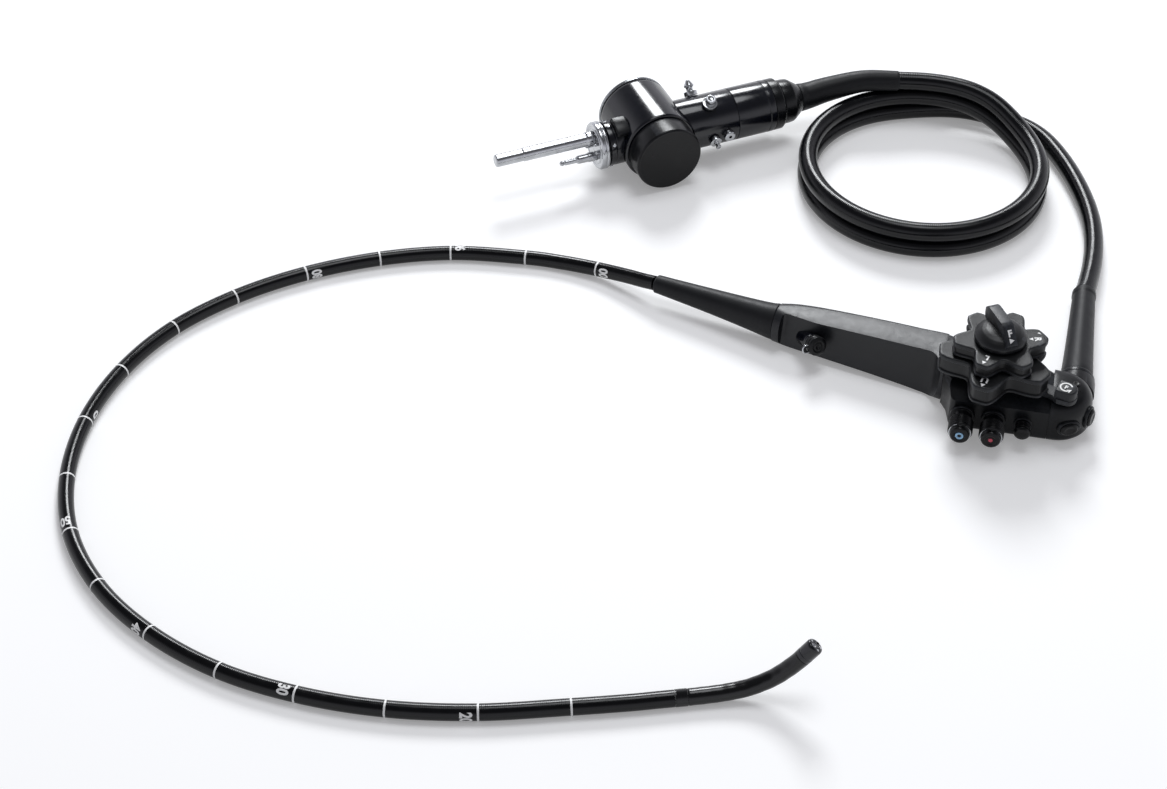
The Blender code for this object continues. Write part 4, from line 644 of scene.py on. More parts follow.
LOOKS = {}
# In a plastic row the last number sets how much lighter its edges are painted: partly rubbed wear, partly a painted
# edge highlight.
for make, name, *values in (
        (ribbed_cord, "tube_black", (0.0016, 0.0018, 0.0026), 0.18, 0.00115, 0.10, 0.28),
        (ribbed_cord, "cord_black", (0.0016, 0.0019, 0.0030), 0.19, 0.00130, 0.22, 0.29),
        (plastic, "bend_black", (0.0026, 0.0028, 0.0034), 0.20, 0.40, 1500.0, 0.12, 1.2),
        (plastic, "boot_rubber", (0.0085, 0.0090, 0.0104), 0.46, 0.20, 2600.0, 0.35, 1.6),
        (plastic, "body_grey", (0.0058, 0.0065, 0.0084), 0.38, 0.36, 3000.0, 0.18, 3.0),
        (plastic, "knob_grey", (0.0036, 0.0040, 0.0048), 0.40, 0.32, 3000.0, 0.20, 9.0),
        (plastic, "shell_black", (0.0034, 0.0038, 0.0046), 0.30, 0.20, 3200.0, 0.15, 8.0),
        (plastic, "gloss_black", (0.0024, 0.0030, 0.0060), 0.17, 0.50, 1200.0, 0.05, 2.5),
        (plastic, "button_rubber", (0.0028, 0.0030, 0.0034), 0.30, 0.22, 3600.0, 0.20, 6.0),
        (plastic, "cap_black", (0.0030, 0.0032, 0.0038), 0.30, 0.22, 2200.0, 0.12, 8.0),
        (plastic, "boot_gloss", (0.0034, 0.0038, 0.0048), 0.26, 0.26, 2400.0, 0.16, 3.0),
        (metal, "bone_steel", (0.62, 0.62, 0.63), 0.26),
        (metal, "frame_aluminium", (0.60, 0.61, 0.62), 0.42, 0.3, 1800.0),
        (metal, "fitting_chrome", (0.46, 0.47, 0.485), 0.17),
        (metal, "gold_contact", (0.78, 0.60, 0.30), 0.22),
        (metal, "contact_steel", (0.26, 0.27, 0.28), 0.24),
        (lens_glass, "lens_glass", (0.012, 0.018, 0.034), (0.05, 0.06, 0.09)),
        (lens_glass, "light_glass", (0.30, 0.32, 0.34), (0.55, 0.57, 0.58)),
        (print_ink, "white_ink", (0.90, 0.90, 0.89)),
        (print_ink, "blue_ink", (0.36, 0.62, 0.88)),
        (print_ink, "red_ink", (0.72, 0.09, 0.14))):
    LOOKS[name] = make(name, *values)


def add(name, mesh, look, body="instrument", slot=None, replaced="", at=None):
    """Adds a piece in the row frame, with its material and body. Its slot argument is not used."""
    if at is not None:
        mesh.transform(at)
    made = bpy.data.objects.new(name, mesh)
    bpy.context.scene.collection.objects.link(made)
    mesh.materials.clear()
    mesh.materials.append(LOOKS[look])
    if body is not None:
        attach(made, body)
    slot or look
    if replaced:
        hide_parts(*replaced.split())
    return made


# Cords

TUBE_ROUTE = [
    (-0.2347, 0.0170, 0.0140), (-0.2445, 0.0185, 0.0122), (-0.2570, 0.0208, 0.0100), (-0.2799, 0.0232, 0.0066),
    (-0.3040, 0.0218, 0.0051), (-0.3291, 0.0165, 0.0050), (-0.3760, 0.0006, 0.0050), (-0.4179, -0.0253, 0.0050),
    (-0.4551, -0.0594, 0.0050), (-0.4850, -0.0995, 0.0050), (-0.5059, -0.1453, 0.0050), (-0.5133, -0.1944, 0.0050),
    (-0.5079, -0.2440, 0.0050), (-0.4899, -0.2912, 0.0050), (-0.4610, -0.3310, 0.0050), (-0.4214, -0.3610, 0.0050),
    (-0.3753, -0.3794, 0.0050), (-0.3264, -0.3873, 0.0050), (-0.2773, -0.3846, 0.0050), (-0.2289, -0.3738, 0.0050),
    (-0.1822, -0.3555, 0.0050), (-0.1373, -0.3310, 0.0050), (-0.1080, -0.3142, 0.0050), (-0.0958, -0.3067, 0.0050),
    (-0.0873, -0.3015, 0.0050),
]
CORD_EXIT_ROUTE = [
    (0.0241, 0.1295, 0.0095), (0.0239, 0.1390, 0.0087), (0.0222, 0.1520, 0.0078), (0.0175, 0.1790, 0.0067),
    (0.0071, 0.2110, 0.0066), (-0.0096, 0.2420, 0.0066), (-0.0307, 0.2711, 0.0066), (-0.0534, 0.2935, 0.0066),
    (-0.0710, 0.3005, 0.0066), (-0.0878, 0.3018, 0.0066),
]
CORD_LEAD_ROUTE = [(-0.1290, 0.2902, 0.0324), (-0.1440, 0.2850, 0.0327), (-0.1575, 0.2790, 0.0332)]
COIL_OUTSIDE = 0.0943
COIL_LOW = CORD_EXIT_ROUTE[-1][2]
COIL_RISE = 0.0129
COIL_RAMPS = ((398.0, 52.0), (760.0, 48.0))


def coil_points():
    """Two turns lying on each other, with a ramp between them where the cord comes in from outside."""
    last = 808.0
    narrowing = 46.0
    points = []
    inwards = Vector(CORD_EXIT_ROUTE[-1]) - COIL_CENTRE
    first = math.degrees(math.atan2(inwards.y, inwards.x))
    turn = first + 6.0
    while turn < last:
        radius = COIL_OUTSIDE + (COIL_RADIUS - COIL_OUTSIDE) * eased((turn - first) / narrowing)
        ramp = sum(eased((turn - start) / span) for start, span in COIL_RAMPS)
        points.append(COIL_CENTRE + spoke(math.radians(turn)) * radius + UP * (COIL_LOW + COIL_RISE * ramp))
        turn += 10.0
    return points


def add_cord(name, line, diameter, look, replaced, every, **values):
    made = add(name, tube(name, line, [diameter / 2.0] * len(line), 40), look, slot="tube_black", replaced=replaced)
    tuple(line[0])
    distances(line)[-1]
    [tuple(point) for point in line[::every] + [line[-1]]]


TUBE_LINE = smooth_route(TUBE_ROUTE, 0.0030)
CORD_LINE = averaged(smooth_route([*CORD_EXIT_ROUTE, *coil_points(), *CORD_LEAD_ROUTE], 0.0032), 5)
add_cord("insertion_sheath", TUBE_LINE, TUBE_DIAMETER, "tube_black", "insertion_tube", 4,
         far_end="tool", lay="loose", with_pieces=[NODES["bending_base"]])
add_cord("universal_cord", CORD_LINE, CORD_DIAMETER, "cord_black",
         "universal_cord_exit universal_cord_coil universal_cord_lead", 3, far_end="object", lay="coiled")


# Boots

def boot(name, route, wide, narrow, near_edge, far_edge, replaced, lip=0.0):
    """A tapered rubber boot along a route, its ends rounded and a lip near the far one."""
    taper = 0.7
    lip_width = 0.0062
    lip_slope = 0.0008
    centres = smooth_route(route, 0.0010)
    along = distances(centres)
    total = along[-1]
    radii = []
    for travelled in along:
        radius = wide + (narrow - wide) * (travelled / total) ** taper
        radius += lip * eased((travelled - total + lip_width) / lip_slope)
        for left, edge in ((travelled, near_edge), (total - travelled, far_edge)):
            if left < edge:
                radius -= edge * (1.0 - math.sqrt(max(0.0, 1.0 - (1.0 - left / edge) ** 2)))
        radii.append(radius)
    add(name, tube(name, centres, radii, 56), "boot_rubber", replaced=replaced)


def make_boots():
    """The three tapered rubber boots."""
    start = Vector((-0.1473, 0.0125, 0.0145))
    end = Vector((-0.2342, 0.0170, 0.0140))
    route = [start, start - Vector((0.008, 0.0, 0.0)), start.lerp(end, 0.5), end]
    boot("insertion_sleeve", route, 0.0123, 0.0060, 0.0008, 0.0010, "insertion_boot")

    face = HEAD_FRONT + 0.0008 + SEAM_GAP + 0.0038 + SEAM_GAP
    length = 0.0950
    drop = 0.0070
    stations = [(0.0, 0.0), (0.008, 0.0), (length / 2.0, drop * 0.45), (length, drop)]
    route = [HEAD @ Vector((CORD_PLACE, face + along, CORD_HEIGHT - down)) for along, down in stations]
    boot("cord_sleeve", route, 0.0104, 0.0074, 0.0008, 0.0012, "cord_boot", 0.0004)

    route = [CONNECTOR @ Vector((0.1573, 0.0, 0.0)), CONNECTOR @ Vector((0.1650, 0.0, 0.0)),
             (-0.2010, 0.2545, 0.0292), (-0.1800, 0.2682, 0.0332), (-0.1570, 0.2792, 0.0332)]
    boot("connector_sleeve", route, 0.0102, 0.0070, 0.0006, 0.0006, "connector_boot")


make_boots()


# Depth marks

RING_POINTS = [TUBE_ROUTE[3], *TUBE_ROUTE[5:15], (-0.4214, -0.3595, TUBE_REST_Z), *TUBE_ROUTE[16:22]]
NUMBER_TURNS = {20: 34.0, 30: -22.0, 40: 24.0, 50: 0.0, 60: -84.0, 70: 170.0, 80: -36.0, 90: 54.0, 100: -50.0}
FROM_CAMERA = Vector((0.413 * 0.745, -0.911 * 0.745, 0.667))
PRINT = 0.00004


def text_mesh(words, size, thickness=PRINT, weight=0.00022):
    """A flat or slightly raised text as a mesh, centred on its width, its baseline at zero."""
    data = bpy.data.curves.new("words", "FONT")
    data.body = words
    data.size = size
    data.align_x = "CENTER"
    data.extrude = thickness
    data.offset = weight
    holder = bpy.data.objects.new("words", data)
    bpy.context.scene.collection.objects.link(holder)
    mesh = evaluated(holder)
    bpy.data.objects.remove(holder, do_unlink=True)
    return mesh


def wrapped_number(words, track, top, radius, turn):
    """A number around a tube, its top towards the tip, centred a turn away from the camera's side."""
    size = 0.0092
    narrowing = 0.74
    strip = 0.0005
    mesh = place(text_mesh(words, size, 0.0, 0.00036), Matrix.Diagonal((narrowing, 1.0, 1.0, 1.0)))
    working = bmesh.new()
    working.from_mesh(mesh)
    for step in range(-16, 17):
        everything = working.verts[:] + working.edges[:] + working.faces[:]
        bmesh.ops.bisect_plane(working, geom=everything, plane_co=(step * strip, 0.0, 0.0), plane_no=ALONG_X)
    height = max(vertex.co.y for vertex in working.verts)
    heading = track.at(top)[3]
    facing = (FROM_CAMERA - heading * FROM_CAMERA.dot(heading)).normalized()
    for vertex in working.verts:
        point, _, _, ahead = track.at(top - height + vertex.co.y)
        out = (facing - ahead * facing.dot(ahead)).normalized()
        across = ahead.cross(out).normalized()
        angle = math.radians(turn) + vertex.co.x / radius
        vertex.co = point + (out * math.cos(angle) + across * math.sin(angle)) * radius
    working.to_mesh(mesh)
    working.free()
    return mesh


def make_marks():
    """Printed depth rings on the insertion tube every 5 cm, and a number every 10 cm."""
    track = Track(TUBE_LINE)
    radius = TUBE_DIAMETER / 2.0 + 0.00005
    width = 0.0012
    rings = []
    numbers = []
    for step, point in enumerate(RING_POINTS):
        depth = 100 - 5 * step
        middle = track.nearest(point)
        rings.append(skin("ring", [track.hoop(middle + width * share, radius, 48)
                                   for share in (-1 / 2, -1 / 6, 1 / 6, 1 / 2)]))
        if depth in NUMBER_TURNS:
            numbers.append(wrapped_number(str(depth), track, middle - 0.0030, radius, NUMBER_TURNS[depth]))
    add("depth_rings", merged("depth_rings", rings[::-1]), "white_ink", slot="tube_black")
    add("depth_numbers", merged("depth_numbers", numbers[::-1]), "white_ink", slot="tube_black")


make_marks()


# Grip

GRIP_ROWS = mm(
    (-147.0, 0.0, 25.0, 2.0, 27.0, 12.48, 12.48), (-135.0, -0.6, 25.8, 1.4, 27.8, 12.0, 9.0),
    (-115.0, -1.2, 26.4, 1.0, 28.6, 12.0, 6.0), (-80.0, -2.8, 27.2, 0.7, 30.2, 12.0, 4.0),
    (-55.0, -4.5, 27.8, 0.5, 31.2, 11.5, 3.5), (-32.0, -6.3, 28.3, 0.4, 32.0, 10.0, 3.0))
RECESS_EDGE = 0.0060
RECESS_LEAN = math.radians(-13.0)
PORT_BASE = Vector((-0.1260, 0.0055, 0.0145))
PORT_MOUTH = Vector((-0.1125, -0.0064, 0.0203))


def rounded_section(x_at, front, back, low, high, lower_radius, upper_radius):
    """Section of the grip: a rounded rectangle, ten points to each corner."""
    corners = [(front + lower_radius, low + lower_radius, lower_radius, 180.0),
               (back - lower_radius, low + lower_radius, lower_radius, 270.0),
               (back - upper_radius, high - upper_radius, upper_radius, 0.0),
               (front + upper_radius, high - upper_radius, upper_radius, 90.0)]
    points = []
    for y_centre, z_centre, radius, start in corners:
        for step in range(10):
            y_place, z_place = around(math.radians(start + 4.5 + 9.0 * step), radius, (y_centre, z_centre))
            points.append((x_at(y_place), y_place, z_place))
    return points


def seam_x(y_place, beyond=0.0):
    """Where the slanting seam of grip and head lies at a place across it."""
    return (beyond - GRIP_SEAM - SEAM_GAP - y_place * math.sin(HEAD_TURN)) / math.cos(HEAD_TURN)


def make_grip():
    """Grip casing with its finger recess, and the gasket at its seam."""
    sections = []
    last = len(GRIP_ROWS) - 1
    start = GRIP_ROWS[-2][0]
    for step in range(61):
        position = last * step / 60
        place_x, *row = spline(GRIP_ROWS, position)
        lean = position - (last - 1)

        def x_at(y_place, place_x=place_x, lean=lean):
            return place_x if lean <= 0.0 else start + (seam_x(y_place) - start) * lean

        sections.append(rounded_section(x_at, *row))
    outline = mm((-142.0, 8.5), (-120.0, 6.0), (-43.0, 6.0), (-39.0, 4.0), (-32.5, -4.0), (-32.5, -30.0),
                 (-142.0, -30.0))
    flat = rounded_polygon([(x, y - RECESS_EDGE) for x, y in outline][::-1], 0.0030)
    bottom = -0.050
    reach = 0.062
    steps = 28
    hollow_depth = 0.0013
    hollow_height = 0.034
    rows = []
    for step in range(steps + 1):
        height = bottom + reach * step / steps
        hollow = hollow_depth * math.sin(math.pi * min(1.0, max(0.0, -height / hollow_height)))
        rows.append([(x, y + hollow, height) for x, y in flat])
    lean = Matrix.Translation((0.0, RECESS_EDGE, 0.030)) @ Matrix.Rotation(RECESS_LEAN, 4, "X")
    mesh = carved("grip_casing", loft("grip", sections), [], [place(loft("recess", rows), lean)], 0.0007, 4)
    add("grip_casing", mesh, "body_grey", replaced="grip_shell")
    inset = 0.0006
    half = 0.0012
    changes = (inset, -inset, inset, -inset, -inset, -inset)
    within = [value + change for value, change in zip(GRIP_ROWS[-1][1:], changes)]
    rings = [rounded_section(lambda y_place, beyond=beyond: seam_x(y_place, beyond), *within)
             for beyond in (-half, half)]
    add("seam_gasket", loft("seam_gasket", rings), "button_rubber", slot="body_grey")


make_grip()


def make_port():
    """Instrument port, its rubber cap with a slit, and the cap's strap."""
    matrix = frame_along(PORT_BASE, PORT_MOUTH - PORT_BASE)
    mouth = (PORT_MOUTH - PORT_BASE).length * 1000.0 - 3.4
    collar = [(1.4, mouth), (5.9, mouth), (5.9, mouth - 3.0), (5.0, mouth - 3.8), (5.0, mouth - 5.6),
              (5.4, mouth - 6.2), (5.4, mouth - 7.4), (5.0, mouth - 8.0), (5.0, -2.0), (1.4, -2.0)]
    add("port_branch", turned("port_branch", collar, 56, 0.0003, True), "gloss_black", slot="fitting_chrome",
        replaced="biopsy_port", at=matrix)
    skirt = [(5.2, mouth - 3.6), (6.1, mouth - 3.4), (6.2, mouth - 0.6), (6.0, mouth + 0.1), (5.2, mouth + 0.1)]
    add("port_grommet", turned("port_grommet", skirt, 56, 0.0004, True), "button_rubber", at=matrix)
    low = mouth + 0.3
    high = low + 3.4
    rise = [(0.0, 1.1), (1.2, 1.0), (1.6, 0.3), (2.2, 0.1), (2.6, 0.6), (3.4, 0.6), (3.8, 0.1), (4.6, 0.1), (5.0, 0.5),
            (5.6, 0.6), (6.4, 1.3)]
    cap = [(radius, high - drop) for radius, drop in rise] + [(6.4, low + 0.8), (6.0, low), (0.0, low)]
    base = low / 1000.0
    slit = prism(mm((-0.7, -0.1), (0.7, -0.1), (0.7, 0.1), (-0.7, 0.1)), base + 0.0021, base + 0.0025)
    ear = torus("ear", (-0.0072, 0.0, base + 0.0012), reach=0.0018, wide=0.0008, high=0.0010, steps=24)
    parts = [turned("cap", cap, 56), ear, slit]
    strap = torus("strap", (-0.0076, 0.0, base + 0.0013), reach=0.0026, wide=0.0005, high=0.0005, steps=36)
    add("port_strap_ring", strap, "fitting_chrome", "port_lid", at=matrix)
    add("port_cap", merged("port_cap", parts), "button_rubber", "port_lid", replaced="biopsy_cap", at=matrix)


make_port()


# Head of the control section

def end_corners():
    """Corners of the head's rounded end, from the front round to the back."""
    turns = [math.radians(-90.0 + 5.0 * step) for step in range(37)]
    return [(END_CENTRE + END_REACH * math.cos(turn), HEAD_FRONT * math.sin(turn)) for turn in turns]


def head_outline(inset=0.0):
    """Outline of the whole head, moved inwards, with its front corner rounded."""
    corners = [(-0.043, -0.0030), (-GRIP_SEAM, -0.0012), (-0.0272, -0.0078), (-0.0240, -HEAD_FRONT),
               *end_corners(), (0.0050, 0.0235), (-GRIP_SEAM, 0.0345), (-0.043, 0.0370)]
    rounded = 3
    moved = inset_outline(corners, inset)
    corner = Vector(moved[rounded])
    before = (Vector(moved[rounded - 1]) - corner).normalized()
    after = (Vector(moved[rounded + 1]) - corner).normalized()
    half = before.angle(after) / 2.0
    radius = max(0.0040 - inset, 0.0006)
    centre = corner + (before + after).normalized() * (radius / math.sin(half))
    first = corner + before * (radius / math.tan(half)) - centre
    last = corner + after * (radius / math.tan(half)) - centre
    fillet = [tuple(centre + first.lerp(last, step / 9.0).normalized() * radius) for step in range(10)]
    return moved[:rounded] + fillet + moved[rounded + 1:]


def cover_outline(inset=0.0):
    """Outline of the end cover with a stretch beyond its seam."""
    return inset_outline([(0.022, -HEAD_FRONT), *end_corners(), (0.022, HEAD_FRONT + 0.0015)], inset)


def make_head():
    """Main casing, rounded end cover, the gasket between them and the cord's collar."""
    foot = mm((0.3, 6.0), (1.2, 3.6), (2.8, 1.8), (6.0, 0.0))
    body = loft("head", layers(head_outline, foot + mm((17.5, 0.0), (29.0, 0.0)), 25)
                + layers(head_outline, mm((29.0, 0.0), (30.4, 0.3), (31.4, 1.1), (32.0, 2.4)), 9, 1), angle=50.0)
    slope_start = 0.0080
    slope_angle = math.atan2(HEAD_TOP - 0.025, HEAD_FRONT - slope_start)
    slope = Matrix.Translation((0.0, -slope_start, HEAD_TOP)) @ Matrix.Rotation(slope_angle, 4, "X")
    cuts = [place(slab((-0.026, -0.040, 0.0), (0.060, 0.0, 0.020)), slope),
            slab((HEAD_SEAM, -0.09, -0.01), (0.09, 0.09, 0.09)),
            slab((-0.09, -0.09, -0.01), (-GRIP_SEAM, 0.09, 0.09)),
            place(slab((-0.05, -0.05, 0.0), (0.05, 0.05, 0.05)),
                  frame_along((HEAD_SEAM, 0.0105, 0.0312), (0.388, 0.563, 0.731)))]
    add("head_casing", carved("head_casing", body, [], cuts, 0.0006, 4), "shell_black", replaced="head_shell", at=HEAD)

    dome = mm((13.5, 0.0), (21.0, 0.0), (26.5, 1.6), (30.0, 5.0), (31.2, 10.0))
    body = loft("cover", layers(cover_outline, foot + dome, 40), angle=50.0)
    outwards = frame_along((CORD_PLACE, 0.0, CORD_HEIGHT), ALONG_Y)
    boss = place(turned("boss", [(0.0, 21.3), (11.8, 21.3), (11.8, 10.0), (0.0, 10.0)], 64, 0.0005), outwards)
    mesh = carved("end_casing", body, [boss], [slab((-0.09, -0.09, -0.01), (HEAD_SEAM + SEAM_GAP, 0.09, 0.09))], 0.0005)
    add("end_casing", mesh, "shell_black", replaced="end_cover", at=HEAD)
    across = mm((-17.8, 2.8), (17.8, 2.8), (19.5, 6.2), (19.5, 22.5), (11.0, 29.7), (-9.5, 30.3), (-19.5, 24.3),
                (-19.5, 6.2))
    add("end_gasket", prism(across, HEAD_SEAM - 0.0015, HEAD_SEAM + 0.0018), "button_rubber", slot="shell_black",
        at=HEAD @ frame_along((0.0, 0.0, 0.0), ALONG_X))
    collar = [(0.0, 25.4), (10.6, 25.4), (11.4, 24.4), (11.4, 21.6), (0.0, 21.6)]
    add("cord_ring", turned("collar", collar, 72, 0.0005), "shell_black", replaced="cord_collar", at=HEAD @ outwards)


make_head()


# Valves and switches

def arc_strip(inner, outer, start, end, low, high, count):
    """A short raised band along an arc, angles in degrees."""
    sections = []
    for step in range(count + 1):
        out = spoke(math.radians(start + (end - start) * step / count))
        sections.append([out * radius + UP * height
                         for radius, height in ((inner, low), (outer, low), (outer, high), (inner, high))])
    return loft("strip", sections)


def make_valves():
    """Valve cylinders, their springs, and their push buttons with coloured ends."""
    wall, collar_end, low, face, roof = 20.8, 31.4, 28.0, 41.0, 38.6
    bore, inside, outside, stem = 3.3, 6.0, 7.7, 2.5
    cylinder = [(bore, collar_end), (inside, collar_end), (inside, wall + 1.9), (outside - 0.2, wall + 1.7),
                (outside, wall), (4.5, wall), (4.5, wall - 8.5), (bore, wall - 8.5)]
    steps = [(0.0, 0.7), (3.0, 0.7), (3.6, 0.1), (4.8, 0.0), (5.8, 0.6), (6.1, 1.6), (6.1, 3.0), (6.4, 3.6), (7.2, 3.9),
             (outside, 4.8)]
    first_rib, rib_pitch, groove = 5.6, 1.4, outside - 0.35
    for rib in range(5):
        top = first_rib + rib * rib_pitch
        steps += [(outside, top), (groove, top + 0.25), (groove, top + 0.65), (outside, top + 0.9)]
    cap = [(radius, face - drop) for radius, drop in steps]
    cap += [(outside, low + 0.4), (outside - 0.4, low), (6.3, low), (6.3, 36.8), (5.2, 37.0), (5.2, roof), (stem, roof),
            (stem, 17.3), (0.0, 17.3)]
    marks = {"air_water": ("blue_ink", [(1.2, 0.7), (1.3, 0.3), (2.5, 0.3), (2.6, 0.7)]),
             "suction": ("red_ink", [(0.0, 0.4), (1.3, 0.4), (1.4, 0.8)])}
    wire = 0.00035
    room = 0.0002
    coil_radius = 0.00455
    coil_steps = 96
    start = collar_end / 1000.0 + wire + room
    rise = roof / 1000.0 - wire - room - start
    coil = [spoke(math.tau * step / 24) * coil_radius + UP * (start + rise * step / coil_steps)
            for step in range(coil_steps + 1)]
    for name, along in (("air_water", -0.0160), ("suction", 0.0030)):
        matrix = HEAD @ frame_along((along, 0.0, 0.0145), TO_FRONT)
        body = name + "_valve"
        add(name + "_barrel", turned(name, cylinder, 64, 0.0004, True), "shell_black", replaced=name + "_cylinder",
            at=matrix)
        add(name + "_cap", turned(name, cap, 72, 0.00022), "button_rubber", body, replaced=name + "_button", at=matrix)
        ink, ring = marks[name]
        add(name + "_mark", turned(name, [(radius, face - drop) for radius, drop in ring], 48, 0.0001), ink, body,
            slot="button_rubber", at=matrix)
        arcs = [arc_strip(0.00635, 0.00695, turn, turn + 140.0, 0.0368, 0.0378, 24) for turn in (-70.0, 110.0)]
        add(name + "_lines", merged(name, arcs), "fitting_chrome", body, slot="button_rubber", at=matrix)
        spring = add(name + "_coil", tube(name, coil, [wire] * len(coil), 12), "bone_steel",
                     replaced=name + "_spring", at=matrix)
        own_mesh(spring)


make_valves()


def on_end(degrees, height):
    """Frame on the head's rounded end, Z out of it."""
    turn = math.radians(degrees)
    point = (END_CENTRE + END_REACH * math.cos(turn), HEAD_FRONT * math.sin(turn), height)
    return HEAD @ frame_along(point, (math.cos(turn) / END_REACH, math.sin(turn) / HEAD_FRONT, 0.0))


def make_switches():
    """Remote switches: a stalk with a domed end, two oval keys in raised rims, and a small disc."""
    stalk = [(0.0, 10.4), (2.2, 10.2), (4.0, 9.6), (5.0, 8.5), (5.2, 7.2), (4.6, 6.2), (4.2, 5.8), (4.6, 5.2),
             (4.6, 4.0), (4.2, 3.4), (4.2, 2.8), (4.6, 2.2), (4.6, 1.5), (2.2, 1.5), (2.2, -4.5), (0.0, -4.5)]
    at = HEAD @ frame_along((0.0212, -HEAD_FRONT, 0.0135), TO_FRONT)
    add("key_stalk", turned("stalk", stalk, 64), "button_rubber", "key_1", replaced="switch_1", at=at)
    base = [(4.8, 1.0), (5.3, 1.0), (5.8, 0.4), (5.8, 0.0), (4.8, 0.0)]
    add("key_stalk_rim", turned("base", base, 56, 0.0002, True), "shell_black", at=at)
    pad = [(0.0, 2.6), (1.8, 2.6), (2.8, 3.0), (3.6, 2.9), (4.4, 2.0), (4.4, 1.5), (0.0, 1.5)]
    stem = [(0.0, 1.8), (2.2, 1.8), (2.2, -4.5), (0.0, -4.5)]
    rim = [(4.6, 1.3), (5.3, 1.3), (5.8, 0.6), (5.8, -0.8), (4.6, -0.8)]
    for number, stretch, at in ((2, (1.3, 1.0), on_end(-66.0, 0.0145)), (3, (1.0, 1.4), on_end(-22.0, 0.0160))):
        widen = Matrix.Diagonal((*stretch, 1.0, 1.0))
        name = f"switch_{number}"
        parts = [place(turned("pad", pad), widen), turned("stem", stem, 24, 0.0)]
        add(name + "_pad", merged(name, parts), "button_rubber", f"key_{number}", replaced=name, at=at)
        add(name + "_rim", place(turned("rim", rim, closed=True), widen), "shell_black", at=at)
    disc = [(0.0, 0.6), (1.0, 0.7), (1.8, 0.8), (2.2, 0.5), (2.2, -6.0), (0.0, -6.0)]
    add("switch_4_pad", turned("disc", disc, 48, 0.0002), "button_rubber", "key_4", replaced="switch_4",
        at=HEAD @ frame_along((0.0500, 0.0035, 0.0312), UP))


make_switches()


# Knob stack

LOCK_TURN = Matrix.Rotation(math.radians(-48.0), 4, "Z")


def star_outline(radius, depth, lobes, phase, tip_share, count):
    """Knob outline: round lobes with concave scoops between them."""
    points = []
    half = math.pi / lobes
    for turn in circle(lobes * count):
        share = abs(((turn + half) % (2.0 * half)) - half) / half
        inside = max(0.0, (share - tip_share) / (1.0 - tip_share))
        reach = radius - depth * math.sin(inside * math.pi / 2.0) ** 1.35
        points.append(around(turn + math.radians(phase), reach))
    return points


def knob(name, outline, low, high, edge):
    """Scalloped knob: rounded rims, a band stepped in round its side, and a slightly raised top."""
    turns = [math.radians(18.0 * step) for step in range(6)]
    step_in = 0.0010
    rows = [(low + edge * (1.0 - math.cos(turn)), edge * (1.0 - math.sin(turn))) for turn in turns]
    rows += [(low + 0.0020, 0.0), (low + 0.0024, step_in * 0.4), (low + 0.0028, step_in)]
    rows += [(high - 0.0036, step_in), (high - 0.0032, step_in * 0.4), (high - 0.0028, 0.0)]
    rows += [(high - edge * (1.0 - math.sin(turn)), edge * (1.0 - math.cos(turn))) for turn in turns]
    rows.append((high - PRINT, edge + 0.0010))
    return loft(name, [raised(inset_outline(outline, inset), height) for height, inset in rows], angle=32.0)


def triangle(size):
    """A thin solid arrowhead that points along X."""
    return prism([around(math.radians(turn), size) for turn in (0.0, 125.0, 235.0)], -PRINT, PRINT)


def on_face(mesh, reach, degrees, height, pointing):
    """Lays a mark on a flat face, pointing along a turn in degrees."""
    where = (*around(math.radians(degrees), reach), height)
    return place(mesh, Matrix.Translation(where) @ Matrix.Rotation(math.radians(pointing), 4, "Z"))


def make_knobs():
    """The two angulation knobs with their letters and arrows."""
    for name, marks_name, outline, low, high, edge, size, marks, body, node in (
            ("up_down_knob", "up_down_marks", star_outline(0.0358, 0.0130, 5, 54.5, 0.20, 40), 0.0370, 0.0510, 0.0012,
             0.0066, (("U", 0.0262, 270.5, 0.0019, 0.0332, 0.0), ("D", 0.0286, 54.5, 0.0017, 0.0262, 180.0)),
             "ud_wheel", "ud_knob"),
            ("right_left_knob", "right_left_marks", star_outline(0.0282, 0.0085, 6, 24.0, 0.22, 36), 0.0515, 0.0615,
             0.0010, 0.0056, (("L", 0.0186, 264.0, 0.0017, 0.0252, 0.0), ("R", 0.0212, 24.0, 0.0016, 0.0192, 180.0)),
             "rl_wheel", "rl_knob")):
        add(name, knob(name, outline, low, high, edge), "knob_grey", body, replaced=node)
        parts = []
        for letter, reach, turn, arrow, arrow_reach, back in marks:
            parts.append(on_face(text_mesh(letter, size), reach, turn, high + 0.0001, turn - 90.0))
            parts.append(on_face(triangle(arrow), arrow_reach, turn, high + 0.0001, turn + back))
        add(marks_name, merged("marks", parts), "white_ink", body, slot="knob_grey")


